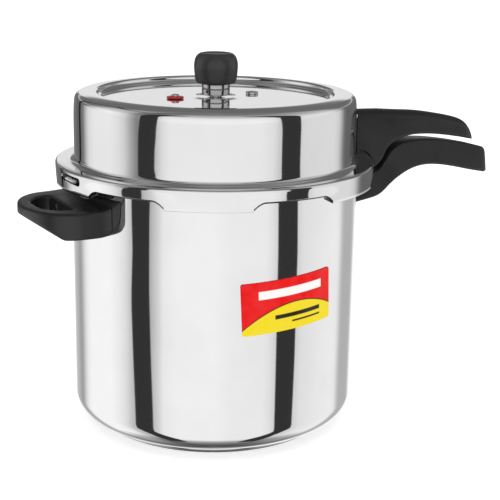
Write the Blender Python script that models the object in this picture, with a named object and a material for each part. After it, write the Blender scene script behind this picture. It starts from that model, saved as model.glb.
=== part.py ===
"""Outer-lid pressure canner of polished sheet steel, in metres with +Z up.

The origin is the centre of the base's underside.  The long handles point along +X,
the helper handle along -X, and every turned part shares the Z axis.  The driving
dimensions below are in millimetres; meshes are made in metres.
"""

import math

import bmesh
import bpy
from mathutils import Matrix, Vector
from mathutils.geometry import interpolate_bezier

MM = 0.001
AROUND = 48  # sides of a large turned part
AROUND_SMALL = 16  # sides of a small turned part
GAP = 0.4  # clearance between pieces that touch

# Sheet metal
SHEET = 1.5

# Pot: wall, base sandwich and the six lugs of its rim
POT_R = 126.0
POT_FLOOR_Z = 5.8
POT_CORNER_R = 18.5
RIM_Z = 223.0  # underside of the rim flange
RIM_BEND_R = 3.0
POT_LUG_R = 137.6
POT_RIM_R = 129.2  # rim radius between the lugs
POT_LUG_HALF = 13.7  # degrees
BASE_R = 108.0
BASE_CAP_TOP = 5.2
BASE_CAP_SHEET = 0.8

# Lid: flat disc, raised ring, wall, flange, skirt and six inturned lugs
LUGS = 6
DISC_Z = 291.0
DISC_R = 98.6
RING_INNER_R = 105.9
RING_Z = 296.5
LID_R = 124.1
LID_SHOULDER_R = 6.0
FLANGE_TOP_Z = 237.0
FLANGE_FILLET_R = 4.5
SKIRT_R = 140.6
SKIRT_BEND_R = 2.0
LIP_Z = 219.0  # lowest line of the inturned lugs
LIP_R = 130.2  # inner radius of the lugs
LIP_END_Z = 221.0  # underside of the lugs at their inner edge
NOTCH_Z = 225.5  # skirt edge between the lugs
LID_LUG_HALF = 14.6  # degrees, at the bottom of a lug
LID_LUG_FLARE = 18.8  # degrees, where its sides meet the skirt edge
SLOT_LOW_Z = 226.9
SLOT_HIGH_Z = 233.9
SLOT_HALF_WIDTH = 18.7
SLOT_MID_Y = -5.3

# Fittings on the lid's flat disc
VENT_HOLE_R = 5.2
INDICATOR_AT = (-38.2, 2.7)
INDICATOR_HOLE_R = 4.6
PLUG_AT = (37.9, 2.5)
PLUG_HOLE_R = 3.9
UNDER_DISC_Z = DISC_Z - SHEET - GAP

# Weight on the vent tube
WEIGHT_R = 12.3
WEIGHT_LOW_Z = 292.8
WEIGHT_TOP_Z = 302.7
STEM_R = 7.6
STEM_TOP_Z = 320.4
KNOB_R = 19.2
KNOB_TOP_Z = 330.0

# Long handles, as side outlines in X and Z
HANDLE_HALF_WIDTH = 13.0
HANDLE_EDGE_R = 3.0
LID_HANDLE_X = 143.5  # inner end, just outside the skirt
POT_HANDLE_X = 129.0

# Helper handle
HELPER_END_X = -180.5
HELPER_SIDE_END_X = -146.0  # where its straight sides end
HELPER_HALF_WIDTH = 48.2
HELPER_LOW_Z = 188.0
HELPER_LOOP_Z = 210.4  # top of the loop
HELPER_WALL_Z = 218.6  # top beside the wall
HOLE_INNER_X = -144.8
HOLE_OUTER_X = -168.4
HOLE_HALF_WIDTH = 30.5
HELPER_SCREW_Y = 15.0
HELPER_SCREW_Z = 203.0
SEAT_LOW_Z = 194.6
SEAT_HIGH_Z = 212.4

# Rack on the pot floor
RACK_R = 105.0
RACK_LOW_Z = 7.7
RACK_TOP_Z = 21.2
RACK_SHEET = 1.2
RACK_HOLE_R = 9.0

# Label on the wall
LABEL_MID_DEG = -87.9
LABEL_WIDTH = 88.0
LABEL_HEIGHT = 44.0
LABEL_MID_Z = 134.0
LABEL_TILT = 2.5
LABEL_SHEET = 0.35
LABEL_COLUMNS = 14


def clear_scene():
    for obj in list(bpy.data.objects):
        bpy.data.objects.remove(obj)


# ---------------------------------------------------------------- materials


def material(name, colour, roughness, metallic):
    mat = bpy.data.materials.new(name)
    mat.use_nodes = True
    shader = mat.node_tree.nodes["Principled BSDF"]
    shader.inputs["Base Color"].default_value = (*colour, 1.0)
    shader.inputs["Roughness"].default_value = roughness
    shader.inputs["Metallic"].default_value = metallic
    mat.diffuse_color = (*colour, 1.0)
    return mat


def make_materials():
    return {
        "polished_steel": material("polished_steel", (0.80, 0.80, 0.81), 0.07, 1.0),
        "satin_steel": material("satin_steel", (0.62, 0.62, 0.64), 0.30, 1.0),
        "aluminium": material("aluminium", (0.75, 0.76, 0.77), 0.35, 1.0),
        "black_plastic": material("black_plastic", (0.035, 0.035, 0.037), 0.38, 0.0),
        "seal_rubber": material("seal_rubber", (0.78, 0.77, 0.74), 0.55, 0.0),
        "red_rubber": material("red_rubber", (0.55, 0.03, 0.02), 0.45, 0.0),
        "label_paper": material("label_paper", (0.85, 0.20, 0.06), 0.40, 0.0),
    }


# ------------------------------------------------------------ outline helpers


def arc(centre, radius, start, end, steps):
    """Points of an arc in the profile plane, angles in degrees."""
    points = []
    for i in range(steps + 1):
        angle = math.radians(start + (end - start) * i / steps)
        points.append((centre[0] + radius * math.cos(angle), centre[1] + radius * math.sin(angle)))
    return points


def offset_path(path, distance):
    """The path moved sideways by a distance, to the right of its direction."""
    normals = []
    for a, b in zip(path, path[1:]):
        direction = (Vector(b) - Vector(a)).normalized()
        normals.append(Vector((direction.y, -direction.x)))
    moved = []
    for i, point in enumerate(path):
        before = normals[max(i - 1, 0)]
        after = normals[min(i, len(normals) - 1)]
        middle = (before + after).normalized()
        moved.append(tuple(Vector(point) + middle * distance / middle.dot(after)))
    return moved


def sheet_profile(path, thickness):
    """Closed outline of a sheet whose outer face follows the path."""
    return path + offset_path(path, thickness)[::-1]


def smooth_through(knots, steps=4, tension=6.0):
    """A smooth line through the knots, by one cubic Bezier for each span."""
    points = [Vector((x, 0.0, z)) for x, z in knots]
    line = []
    for i in range(len(points) - 1):
        here, there = points[i], points[i + 1]
        before = points[max(i - 1, 0)]
        after = points[min(i + 2, len(points) - 1)]
        leave = here + (there - before) / tension
        arrive = there - (after - here) / tension
        span = interpolate_bezier(here, leave, arrive, there, steps + 1)
        line.extend((p.x, p.z) for p in span[:-1])
    line.append(tuple(knots[-1]))
    return line


def rounded_polygon(corners, steps=5):
    """Outline of a polygon whose corners (x, y, radius) are rounded by arcs."""
    outline = []
    count = len(corners)
    for i, (x, y, radius) in enumerate(corners):
        corner = Vector((x, y))
        if radius == 0:
            outline.append((x, y))
            continue
        back = (Vector(corners[i - 1][:2]) - corner).normalized()
        on = (Vector(corners[(i + 1) % count][:2]) - corner).normalized()
        half = back.angle(on) / 2
        start = corner + back * radius / math.tan(half)
        end = corner + on * radius / math.tan(half)
        centre = corner + (back + on).normalized() * radius / math.sin(half)
        for k in range(steps + 1):
            ray = (start - centre).lerp(end - centre, k / steps).normalized()
            outline.append(tuple(centre + ray * radius))
    return outline


def ring_places(count, radius, first=0.0):
    """Places spread evenly round a circle."""
    turns = [first + 2 * math.pi * i / count for i in range(count)]
    return [(radius * math.cos(t), radius * math.sin(t)) for t in turns]


# --------------------------------------------------------------- mesh helpers


def finish_object(name, bm, mat, at=(0.0, 0.0), parent=None, crease=35.0):
    """Turn a bmesh into a named object, faces out and shaded smooth."""
    bmesh.ops.recalc_face_normals(bm, faces=bm.faces)
    if bm.calc_volume(signed=True) < 0:
        bmesh.ops.reverse_faces(bm, faces=bm.faces)
    mesh = bpy.data.meshes.new(name)
    bm.to_mesh(mesh)
    bm.free()
    mesh.shade_smooth()
    mesh.set_sharp_from_angle(angle=math.radians(crease))
    obj = bpy.data.objects.new(name, mesh)
    obj.location = (at[0] * MM, at[1] * MM, 0.0)
    obj.parent = parent
    bpy.context.scene.collection.objects.link(obj)
    if mat:
        mesh.materials.append(mat)
    return obj


def turned(name, profile, mat, steps=AROUND, **placing):
    """A turned part: the closed profile (radius, z) spun about Z."""
    bm = bmesh.new()
    verts = [bm.verts.new((r * MM, 0.0, z * MM)) for r, z in profile]
    edges = [bm.edges.new(pair) for pair in zip(verts, verts[1:])]
    if profile[0][0] > 0 or profile[-1][0] > 0:
        edges.append(bm.edges.new((verts[-1], verts[0])))
    bmesh.ops.spin(
        bm, geom=verts + edges, cent=(0, 0, 0), axis=(0, 0, 1),
        angle=2 * math.pi, steps=steps, use_merge=True,
    )
    bmesh.ops.remove_doubles(bm, verts=bm.verts, dist=1e-6)
    return finish_object(name, bm, mat, **placing)


def add_prism(bm, outline, direction, start, end):
    """An outline in the plane across a direction ('X', 'Y' or 'Z'), extruded along it."""
    def place(u, v, w):
        spots = {"X": (w, u, v), "Y": (u, w, v), "Z": (u, v, w)}
        return Vector(spots[direction]) * MM

    face = bm.faces.new([bm.verts.new(place(u, v, start)) for u, v in outline])
    made = bmesh.ops.extrude_face_region(bm, geom=[face])
    moved = [item for item in made["geom"] if isinstance(item, bmesh.types.BMVert)]
    bmesh.ops.translate(bm, verts=moved, vec=place(0, 0, end) - place(0, 0, start))


def prism(name, outline, direction, start, end, mat, **placing):
    bm = bmesh.new()
    add_prism(bm, outline, direction, start, end)
    return finish_object(name, bm, mat, **placing)


def prisms(name, outlines, direction, start, end, mat):
    """Several outlines extruded alike, as one object."""
    bm = bmesh.new()
    for outline in outlines:
        add_prism(bm, outline, direction, start, end)
    return finish_object(name, bm, mat)


def circle(radius, steps=12, centre=(0.0, 0.0)):
    return arc(centre, radius, 0, 360 * (steps - 1) / steps, steps - 1)


def sector(inner, outer, middle, half, steps=8):
    """Outline of a ring's sector, angles in degrees."""
    outside = arc((0, 0), outer, middle - half, middle + half, steps)
    inside = arc((0, 0), inner, middle + half, middle - half, steps)
    return outside + inside


def box(low, high):
    """Outline of a rectangle from its low and high corners."""
    return [low, (high[0], low[1]), high, (low[0], high[1])]


def cut(obj, cutter):
    """Subtract a cutter, which stays in the scene as a wire guide."""
    cutter.hide_render = True
    cutter.display_type = "WIRE"
    modifier = obj.modifiers.new("cut_" + cutter.name, "BOOLEAN")
    modifier.operation = "DIFFERENCE"
    modifier.solver = "EXACT"
    modifier.object = cutter


def round_edges(obj, width, segments=2, angle=40.0):
    modifier = obj.modifiers.new("round_edges", "BEVEL")
    modifier.width = width * MM
    modifier.segments = segments
    modifier.limit_method = "ANGLE"
    modifier.angle_limit = math.radians(angle)


def joint_frame(name, at=(0.0, 0.0)):
    """An empty on a joint's axis, the parent of the pieces that move on it."""
    empty = bpy.data.objects.new(name, None)
    empty.location = (at[0] * MM, at[1] * MM, 0.0)
    bpy.context.scene.collection.objects.link(empty)
    return empty


def notch_outlines(inner, outer, lug_half):
    """Sectors between the lugs, half a pitch from each lug's middle."""
    pitch = 360 / LUGS
    half = pitch / 2 - lug_half
    return [sector(inner, outer, pitch * (i + 0.5), half) for i in range(LUGS)]


# ------------------------------------------------------------------------ pot


def make_pot_shell(mats):
    corner = (POT_R - POT_CORNER_R, POT_FLOOR_Z + POT_CORNER_R)
    bend = (POT_R + RIM_BEND_R, RIM_Z - RIM_BEND_R)
    path = [(POT_LUG_R, RIM_Z)]
    path += arc(bend, RIM_BEND_R, 90, 180, 2)
    path += arc(corner, POT_CORNER_R, 0, -90, 4)
    path += [(0.0, POT_FLOOR_Z)]
    shell = turned("pot_shell", sheet_profile(path, SHEET), mats["polished_steel"])
    sectors = notch_outlines(POT_RIM_R, POT_LUG_R + 6, POT_LUG_HALF)
    cut(shell, prisms("rim_notches", sectors, "Z", RIM_Z - 1, RIM_Z + SHEET + 1, None))


def make_base(mats):
    """Aluminium core under the pot, held by a thin dished cap."""
    bend = 2.5
    path = [(BASE_R, BASE_CAP_TOP)]
    path += arc((BASE_R - bend, bend), bend, 0, -90, 3)
    path += [(0.0, 0.0)]
    turned("base_cap", sheet_profile(path, BASE_CAP_SHEET), mats["polished_steel"])
    core_r = BASE_R - BASE_CAP_SHEET - GAP
    low = BASE_CAP_SHEET + GAP
    high = POT_FLOOR_Z - GAP
    core = [(0, high), (core_r, high), (core_r, low + bend), (core_r - bend, low), (0, low)]
    turned("base_core", core, mats["aluminium"])


def make_label(mats):
    """A thin label wrapped on the wall, slightly tilted."""
    inner = POT_R + GAP
    outline = rounded_polygon(
        [
            (-LABEL_WIDTH / 2, -LABEL_HEIGHT / 2, 2),
            (LABEL_WIDTH / 2, -LABEL_HEIGHT / 2, 2),
            (LABEL_WIDTH / 2, LABEL_HEIGHT / 2, 2),
            (-LABEL_WIDTH / 2, LABEL_HEIGHT / 2, 2),
        ],
        2,
    )
    bm = bmesh.new()
    bm.faces.new([bm.verts.new((x * MM, y * MM, 0)) for x, y in outline])
    for i in range(1, LABEL_COLUMNS):
        across = (i / LABEL_COLUMNS - 0.5) * LABEL_WIDTH * MM
        geom = bm.verts[:] + bm.edges[:] + bm.faces[:]
        bmesh.ops.bisect_plane(bm, geom=geom, plane_co=(across, 0, 0), plane_no=(1, 0, 0))
    made = bmesh.ops.extrude_face_region(bm, geom=bm.faces[:])
    front = [item for item in made["geom"] if isinstance(item, bmesh.types.BMVert)]
    bmesh.ops.translate(bm, verts=front, vec=(0, 0, LABEL_SHEET * MM))
    tilt = Matrix.Rotation(math.radians(LABEL_TILT), 2)
    for vert in bm.verts:
        along, up = tilt @ Vector(vert.co.xy)
        turn = math.radians(LABEL_MID_DEG) + along / (inner * MM)
        radius = inner * MM + vert.co.z
        vert.co = (radius * math.cos(turn), radius * math.sin(turn), up + LABEL_MID_Z * MM)
    finish_object("label", bm, mats["label_paper"])


def make_rack(mats, parent):
    path = [(RACK_R, RACK_LOW_Z), (RACK_R, RACK_TOP_Z - 1.5), (RACK_R - 1.5, RACK_TOP_Z), (0, RACK_TOP_Z)]
    outline = sheet_profile(path[::-1], RACK_SHEET)
    rack = turned("rack", outline, mats["satin_steel"], parent=parent)
    places = [(0.0, 0.0)] + ring_places(6, 38.0) + ring_places(12, 76.0)
    holes = [circle(RACK_HOLE_R, 10, place) for place in places]
    cut(rack, prisms("rack_holes", holes, "Z", RACK_TOP_Z - 4, RACK_TOP_Z + 4, None))


# ---------------------------------------------------------------- pot handles


def make_pot_handle(mats):
    """Lower long handle: its root meets the wall below the skirt."""
    top = smooth_through(
        [(164, 212), (172, 215.5), (178, 224.5), (184.5, 232), (193, 236.5), (208, 239), (226, 238.8),
         (254, 235.2), (280, 230)], 2
    )
    tip = rounded_polygon([(280, 230, 0), (296, 226, 3), (302.5, 200, 4), (284, 203.5, 0)], 3)
    bottom = smooth_through(
        [(284, 203.5), (265, 208), (245, 212), (226, 213.6), (208, 211), (196, 206), (184, 198), (173, 189.3)], 2
    )
    outline = [(POT_HANDLE_X, 209.5)] + top[:-1] + tip[:-1] + bottom + [(166, 186.8), (POT_HANDLE_X, 182)]
    handle = prism("pot_handle", outline, "Y", -HANDLE_HALF_WIDTH, HANDLE_HALF_WIDTH, mats["black_plastic"])
    round_edges(handle, HANDLE_EDGE_R)
    tongue = prism("tongue_pocket", box((126, 193.2), (177, 197.4)), "Y", -8.6, 8.6, None)
    cut(handle, tongue)
    shank = prism("pot_screw_hole", circle(2.7, 12, (160, 0)), "Z", 189.5, 204, None)
    cut(handle, shank)
    head = prism("pot_screw_recess", circle(5.2, 12, (160, 0)), "Z", 178, 189.8, None)
    cut(handle, head)


def make_pot_handle_bracket(mats):
    """A pad on the wall with a tongue that runs into the handle."""
    inner = POT_R + GAP
    pad = sector(inner, inner + SHEET, 0, 5.0, 4)
    bracket = prism("pot_handle_bracket", pad, "Z", 186, 206, mats["satin_steel"])
    tongue = prism("bracket_tongue", box((inner + 0.8, -8), (175, 8)), "Z", 193.7, 196.9, None)
    tongue.hide_render = True
    tongue.display_type = "WIRE"
    join = bracket.modifiers.new("join_tongue", "BOOLEAN")
    join.operation = "UNION"
    join.solver = "EXACT"
    join.object = tongue
    cut(bracket, prism("tongue_hole", circle(2.7, 12, (160, 0)), "Z", 190, 200, None))


def screw_profile(head_r, head_low, head_high, shank_r, shank_end):
    """Half profile of a pan-head screw that points up from its head."""
    return [
        (0, shank_end), (shank_r - 0.5, shank_end), (shank_r, shank_end - 0.8), (shank_r, head_high),
        (head_r, head_high), (head_r, head_low + 0.8), (head_r - 0.8, head_low), (0, head_low),
    ]


def make_pot_handle_screw(mats):
    profile = screw_profile(4.6, 186.5, 189.3, 2.2, 203.0)
    turned("pot_handle_screw", profile, mats["satin_steel"], steps=12, at=(160, 0))


def helper_outline():
    """Plan of the helper handle: wings at the wall, straight sides and an oval end."""
    near = [(-100, -56), (-113.6, -55.9), (-116.3, -53.6), (-121, -49.2)]
    near += [(-126, -HELPER_HALF_WIDTH), (HELPER_SIDE_END_X, -HELPER_HALF_WIDTH)]
    reach = HELPER_SIDE_END_X - HELPER_END_X
    for degrees in range(12, 97, 14):
        turn = math.radians(min(degrees, 90))
        near.append((HELPER_SIDE_END_X - reach * math.sin(turn), -HELPER_HALF_WIDTH * math.cos(turn)))
    return near + [(x, -y) for x, y in near[:-1][::-1]]


def wing_corner(side):
    """Cutter that rounds the lower corner of one wing."""
    lean = math.radians(37)
    outline = [
        (-80, 180), (-80, HELPER_LOW_Z - 1), (-73, 189), (-68.8, 191.4), (-64.6, 195), (-61.8, 198.5),
        (-60, 202), (-58.9, 207), (-58.6, 212), (-40, 212), (-40, 180),
    ]
    bm = bmesh.new()
    rings = []
    for depth in (-150, -97):
        ring = []
        for w, z in outline:
            x = w * math.cos(lean) + depth * math.sin(lean)
            y = side * (w * math.sin(lean) - depth * math.cos(lean))
            ring.append(bm.verts.new((x * MM, y * MM, z * MM)))
        rings.append(ring)
        bm.faces.new(ring)
    low, high = rings
    for k in range(len(low)):
        bm.faces.new((low[k - 1], low[k], high[k], high[k - 1]))
    return finish_object("wing_corner", bm, None)


def make_helper_handle(mats):
    name = "helper_handle"
    handle = prism(name, helper_outline(), "Z", HELPER_LOW_Z, 226, mats["black_plastic"])
    above = [
        (100, 240), (100, HELPER_WALL_Z), (127, HELPER_WALL_Z), (129, 214.6), (131, 212.4), (134.5, 211.1),
        (146, HELPER_LOOP_Z), (190, HELPER_LOOP_Z - 0.4), (190, 240),
    ]
    cut(handle, turned("helper_top_cut", above, None))
    below = [(-155, 180), (-160, HELPER_LOW_Z), (HELPER_END_X - 1, 203), (HELPER_END_X - 12, 180)]
    cut(handle, prism("helper_under_cut", below, "Y", -70, 70, None))
    for side in (-1, 1):
        cut(handle, wing_corner(side))
    round_edges(handle, 3.5, 2, 50)
    hole = rounded_polygon(
        [
            (HOLE_INNER_X, -HOLE_HALF_WIDTH, 4),
            (HOLE_OUTER_X, -HOLE_HALF_WIDTH + 8, 10),
            (HOLE_OUTER_X, HOLE_HALF_WIDTH - 8, 10),
            (HOLE_INNER_X, HOLE_HALF_WIDTH, 4),
        ],
        4,
    )
    cut(handle, prism("finger_hole", hole, "Z", 180, 230, None))
    wall = prism("helper_wall_cut", circle(POT_R + GAP, AROUND), "Z", 180, 230, None)
    cut(handle, wall)
    seat = sector(POT_R - 1, POT_R + SHEET + 2 * GAP, 180, 17, 10)
    cut(handle, prism("helper_bracket_seat", seat, "Z", SEAT_LOW_Z, SEAT_HIGH_Z, None))
    screws = [circle(2.1, 10, (side * HELPER_SCREW_Y, HELPER_SCREW_Z)) for side in (-1, 1)]
    cut(handle, prisms("helper_screw_holes", screws, "X", -150, -120, None))
    heads = [circle(4.2, 12, (side * HELPER_SCREW_Y, HELPER_SCREW_Z)) for side in (-1, 1)]
    cut(handle, prisms("helper_screw_recesses", heads, "X", -150, -141.2, None))


def make_helper_bracket(mats):
    inner = POT_R + GAP
    plate = sector(inner, inner + SHEET, 180, 16, 10)
    bracket = prism("helper_bracket", plate, "Z", SEAT_LOW_Z + GAP, SEAT_HIGH_Z - GAP, mats["satin_steel"])
    holes = [circle(2.1, 10, (side * HELPER_SCREW_Y, HELPER_SCREW_Z)) for side in (-1, 1)]
    cut(bracket, prisms("helper_bracket_holes", holes, "X", -140, -120, None))


def make_helper_screws(mats):
    """Two screws from the finger hole into the bracket."""
    profile = screw_profile(3.6, -144.4, -141.7, 1.7, -126.2 + GAP)
    for name, side in (("helper_screw_left", 1), ("helper_screw_right", -1)):
        screw = turned(name, profile, mats["satin_steel"], steps=12)
        screw.rotation_euler = (0, math.radians(90), 0)
        screw.location = (0, side * HELPER_SCREW_Y * MM, HELPER_SCREW_Z * MM)


# ------------------------------------------------------------------------ lid


def make_gasket(mats, parent):
    """Sealing ring in the lid's channel, with a groove on its inner side."""
    outline = [
        (138.6, 225.9), (138.6, 232.6), (137.6, 233.9), (127.8, 233.9), (127.0, 233.1), (127.0, 231.6),
        (133.0, 229.4), (127.0, 227.2), (127.0, 225.7), (127.8, 224.9), (137.6, 224.9),
    ]
    turned("gasket", outline, mats["seal_rubber"], parent=parent)


def lid_path():
    """Outer face of the lid from the vent hole to the tip of a lug."""
    shoulder = (LID_R - LID_SHOULDER_R, RING_Z - LID_SHOULDER_R)
    fillet = (LID_R + FLANGE_FILLET_R, FLANGE_TOP_Z + FLANGE_FILLET_R)
    skirt_top = (SKIRT_R - SKIRT_BEND_R, FLANGE_TOP_Z - SKIRT_BEND_R)
    skirt_low = (SKIRT_R - SKIRT_BEND_R, LIP_Z + SKIRT_BEND_R)
    path = [(VENT_HOLE_R, DISC_Z), (DISC_R, DISC_Z), (DISC_R + 2.9, DISC_Z + 0.9)]
    path += [(RING_INNER_R - 2.3, RING_Z - 1.9), (RING_INNER_R, RING_Z)]
    path += arc(shoulder, LID_SHOULDER_R, 90, 0, 3)
    path += arc(fillet, FLANGE_FILLET_R, 180, 270, 2)
    path += arc(skirt_top, SKIRT_BEND_R, 90, 0, 2)
    path += arc(skirt_low, SKIRT_BEND_R, 0, -103, 3)
    path += [(LIP_R, LIP_END_Z)]
    return path


def make_skirt_notches():
    """Cutters between the lugs, whose sides follow the lugs' flared ends."""
    rise = NOTCH_Z - LIP_Z
    flare = LID_LUG_FLARE - LID_LUG_HALF
    levels = [
        (LIP_Z - 4, LID_LUG_HALF), (LIP_Z, LID_LUG_HALF), (LIP_Z + rise * 0.65, LID_LUG_HALF + flare * 0.4),
        (NOTCH_Z, LID_LUG_FLARE),
    ]
    bm = bmesh.new()
    for i in range(LUGS):
        rings = []
        for z, lug_half in levels:
            outline = notch_outlines(LIP_R - 3, SKIRT_R + 6, lug_half)[i]
            rings.append([bm.verts.new((x * MM, y * MM, z * MM)) for x, y in outline])
        for low, high in zip(rings, rings[1:]):
            for k in range(len(low)):
                bm.faces.new((low[k - 1], low[k], high[k], high[k - 1]))
        bm.faces.new(rings[0])
        bm.faces.new(rings[-1])
    return finish_object("skirt_notches", bm, None)


def make_lid_shell(mats, parent):
    shell = turned("lid_shell", sheet_profile(lid_path(), SHEET), mats["polished_steel"], parent=parent)
    cut(shell, make_skirt_notches())
    middle = (SLOT_LOW_Z + SLOT_HIGH_Z) / 2
    radius = (SLOT_HIGH_Z - SLOT_LOW_Z) / 2
    flat = SLOT_HALF_WIDTH - radius
    slot = arc((SLOT_MID_Y + flat, middle), radius, -90, 90, 6)
    slot += arc((SLOT_MID_Y - flat, middle), radius, 90, 270, 6)
    cut(shell, prism("release_slot", slot, "X", -SKIRT_R - 6, -SKIRT_R + 8, None))
    holes = [circle(INDICATOR_HOLE_R, 14, INDICATOR_AT), circle(PLUG_HOLE_R, 14, PLUG_AT)]
    cut(shell, prisms("disc_holes", holes, "Z", DISC_Z - 5, DISC_Z + 5, None))


def make_lid_handle(mats, parent):
    """Upper long handle, over the lower one; its root stands off the skirt."""
    top = smooth_through(
        [(LID_HANDLE_X, 270.6), (178, 269.8), (205, 268), (229, 264.5), (252, 259.6), (268, 255), (276.5, 250)], 2
    )
    tip = [(283, 242.5), (287.2, 233.8)]
    bottom = smooth_through(
        [(275, 236.4), (252, 240.6), (228, 243.8), (209, 244.4), (197, 242.4), (187, 239), (178.5, 233),
         (172.5, 222.5), (163.5, 214.8)], 2
    )
    outline = top + tip + bottom + [(LID_HANDLE_X, 214.8)]
    handle = prism(
        "lid_handle", outline, "Y", -HANDLE_HALF_WIDTH, HANDLE_HALF_WIDTH, mats["black_plastic"], parent=parent
    )
    round_edges(handle, HANDLE_EDGE_R)
    recess = circle(20.5, 20, (LID_HANDLE_X, 214.8))
    for side, start, end in (("front", -20, -9), ("back", 9, 20)):
        cut(handle, prism("handle_recess_" + side, recess, "Y", start, end, None))
    cut(handle, prism("lid_screw_hole", circle(2.7, 12, (0, 260)), "X", 130, 167, None))


def make_lid_handle_bracket(mats, parent):
    """A folded frame from the lid wall, over the flange, to the handle's end."""
    inner = LID_R + GAP
    seat = arc((0, 0), inner, -5.4, 5.4, 4)
    inside = arc((0, 0), inner + SHEET, -4.8, 4.8, 4)
    end = LID_HANDLE_X - GAP
    outer_loop = seat + [(end, 11.8), (end, -11.8)]
    inner_loop = inside + [(end - SHEET, 10.3), (end - SHEET, -10.3)]
    bracket = prism("lid_handle_bracket", outer_loop, "Z", 242, 268, mats["polished_steel"], parent=parent)
    cut(bracket, prism("bracket_inside", inner_loop, "Z", 240, 270, None))
    window = box((133.5, 239), (140.0, 253))
    cut(bracket, prism("bracket_windows", window, "Y", -20, 20, None))
    cut(bracket, prism("bracket_screw_hole", circle(2.7, 12, (0, 260)), "X", 136, 150, None))


def make_lid_handle_screw(mats, parent):
    low = LID_HANDLE_X - GAP - SHEET - GAP
    profile = screw_profile(4.4, low - 2.8, low, 2.2, 166.0)
    screw = turned("lid_handle_screw", profile, mats["satin_steel"], steps=12, parent=parent)
    screw.rotation_euler = (0, math.radians(90), 0)
    screw.location = (0, 0, 260 * MM)


def make_hex_nut(name, across_flats, bore, low, high, mat, at, parent):
    """A hexagon nut with its bore, on the underside of the disc."""
    hexagon = circle(across_flats / math.sqrt(3), 6)
    nut = prism(name, hexagon, "Z", low, high, mat, at=at, parent=parent)
    hole = prism(name + "_bore", circle(bore, 16), "Z", low - 2, high + 2, None, at=at, parent=parent)
    cut(nut, hole)


def make_vent(mats, parent):
    """Vent tube through the disc, with its nut below."""
    profile = [
        (4.6, 281.0), (4.6, DISC_Z + GAP), (5.7, DISC_Z + GAP), (5.7, 292.6), (3.4, 293.0), (3.4, 305.5),
        (2.6, 307.5), (1.7, 307.5), (1.7, 303.5), (1.3, 302.5), (1.3, 281.0),
    ]
    turned("vent_tube", profile, mats["satin_steel"], steps=16, parent=parent)
    make_hex_nut("vent_nut", 16, 5.0, 283.5, UNDER_DISC_Z, mats["satin_steel"], (0, 0), parent)


def make_safety_plug(mats, parent):
    profile = [
        (0, 293.2), (4.9, 293.2), (5.5, 292.6), (5.5, DISC_Z + GAP), (3.5, DISC_Z + GAP), (3.5, 285.0), (0, 285.0),
    ]
    turned("safety_plug", profile, mats["satin_steel"], steps=AROUND_SMALL, at=PLUG_AT, parent=parent)
    make_hex_nut("safety_plug_nut", 13, 3.9, 285.6, UNDER_DISC_Z, mats["satin_steel"], PLUG_AT, parent)


def make_indicator(mats, lid, pin_frame):
    """Red grommet in the disc and the pin that rises through it."""
    grommet = [
        (2.3, 286.6), (6.2, 286.6), (6.2, UNDER_DISC_Z), (4.2, UNDER_DISC_Z), (4.2, DISC_Z + GAP),
        (7.1, DISC_Z + GAP), (7.1, 292.0), (6.6, 292.5), (2.3, 292.5),
    ]
    turned("indicator_grommet", grommet, mats["red_rubber"], steps=AROUND_SMALL, at=INDICATOR_AT, parent=lid)
    pin = [
        (0, 294.0), (3.3, 294.0), (3.75, 293.6), (3.75, 292.9), (1.9, 292.9), (1.9, 281.0), (3.4, 281.0),
        (3.4, 279.6), (0, 279.6),
    ]
    turned("indicator_pin", pin, mats["satin_steel"], steps=16, parent=pin_frame)


# --------------------------------------------------------------------- weight


def make_weight(mats, clip_frame, weight_frame):
    """Pressure weight: bored body, needle, knob, and the clip inside it."""
    body = [
        (0, STEM_TOP_Z), (STEM_R - 0.4, STEM_TOP_Z), (STEM_R, STEM_TOP_Z - 0.4), (STEM_R, WEIGHT_TOP_Z),
        (WEIGHT_R - 0.4, WEIGHT_TOP_Z), (WEIGHT_R, WEIGHT_TOP_Z - 0.4), (WEIGHT_R, WEIGHT_LOW_Z + 0.4),
        (WEIGHT_R - 0.4, WEIGHT_LOW_Z), (6.2, WEIGHT_LOW_Z), (6.2, 300.0), (4.4, 301.5), (4.4, 309.0),
        (1.6, 309.0), (1.6, 315.0), (0, 315.0),
    ]
    turned("weight_body", body, mats["polished_steel"], steps=AROUND_SMALL, parent=weight_frame)
    needle = [(0, 314.6), (1.2, 314.6), (1.2, 306.0), (0.4, 304.4), (0, 304.4)]
    turned("weight_needle", needle, mats["satin_steel"], steps=10, parent=weight_frame)
    knob = [
        (0, 328.8), (10.5, 329.2), (13.0, KNOB_TOP_Z), (16.4, 328.6), (18.6, 325.0), (KNOB_R, 320.5),
        (KNOB_R - 0.1, 316.0), (17.9, 309.0), (16.6, 303.8), (16.0, WEIGHT_TOP_Z + GAP),
        (STEM_R + GAP, WEIGHT_TOP_Z + GAP), (STEM_R + GAP, STEM_TOP_Z + GAP), (0, STEM_TOP_Z + GAP),
    ]
    turned("weight_knob", knob, mats["black_plastic"], steps=28, parent=weight_frame)
    ring = sector(3.9, 5.6, 0, 155, 14)
    prism("weight_clip", ring, "Z", 294.0, 296.0, mats["satin_steel"], parent=clip_frame)


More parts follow.
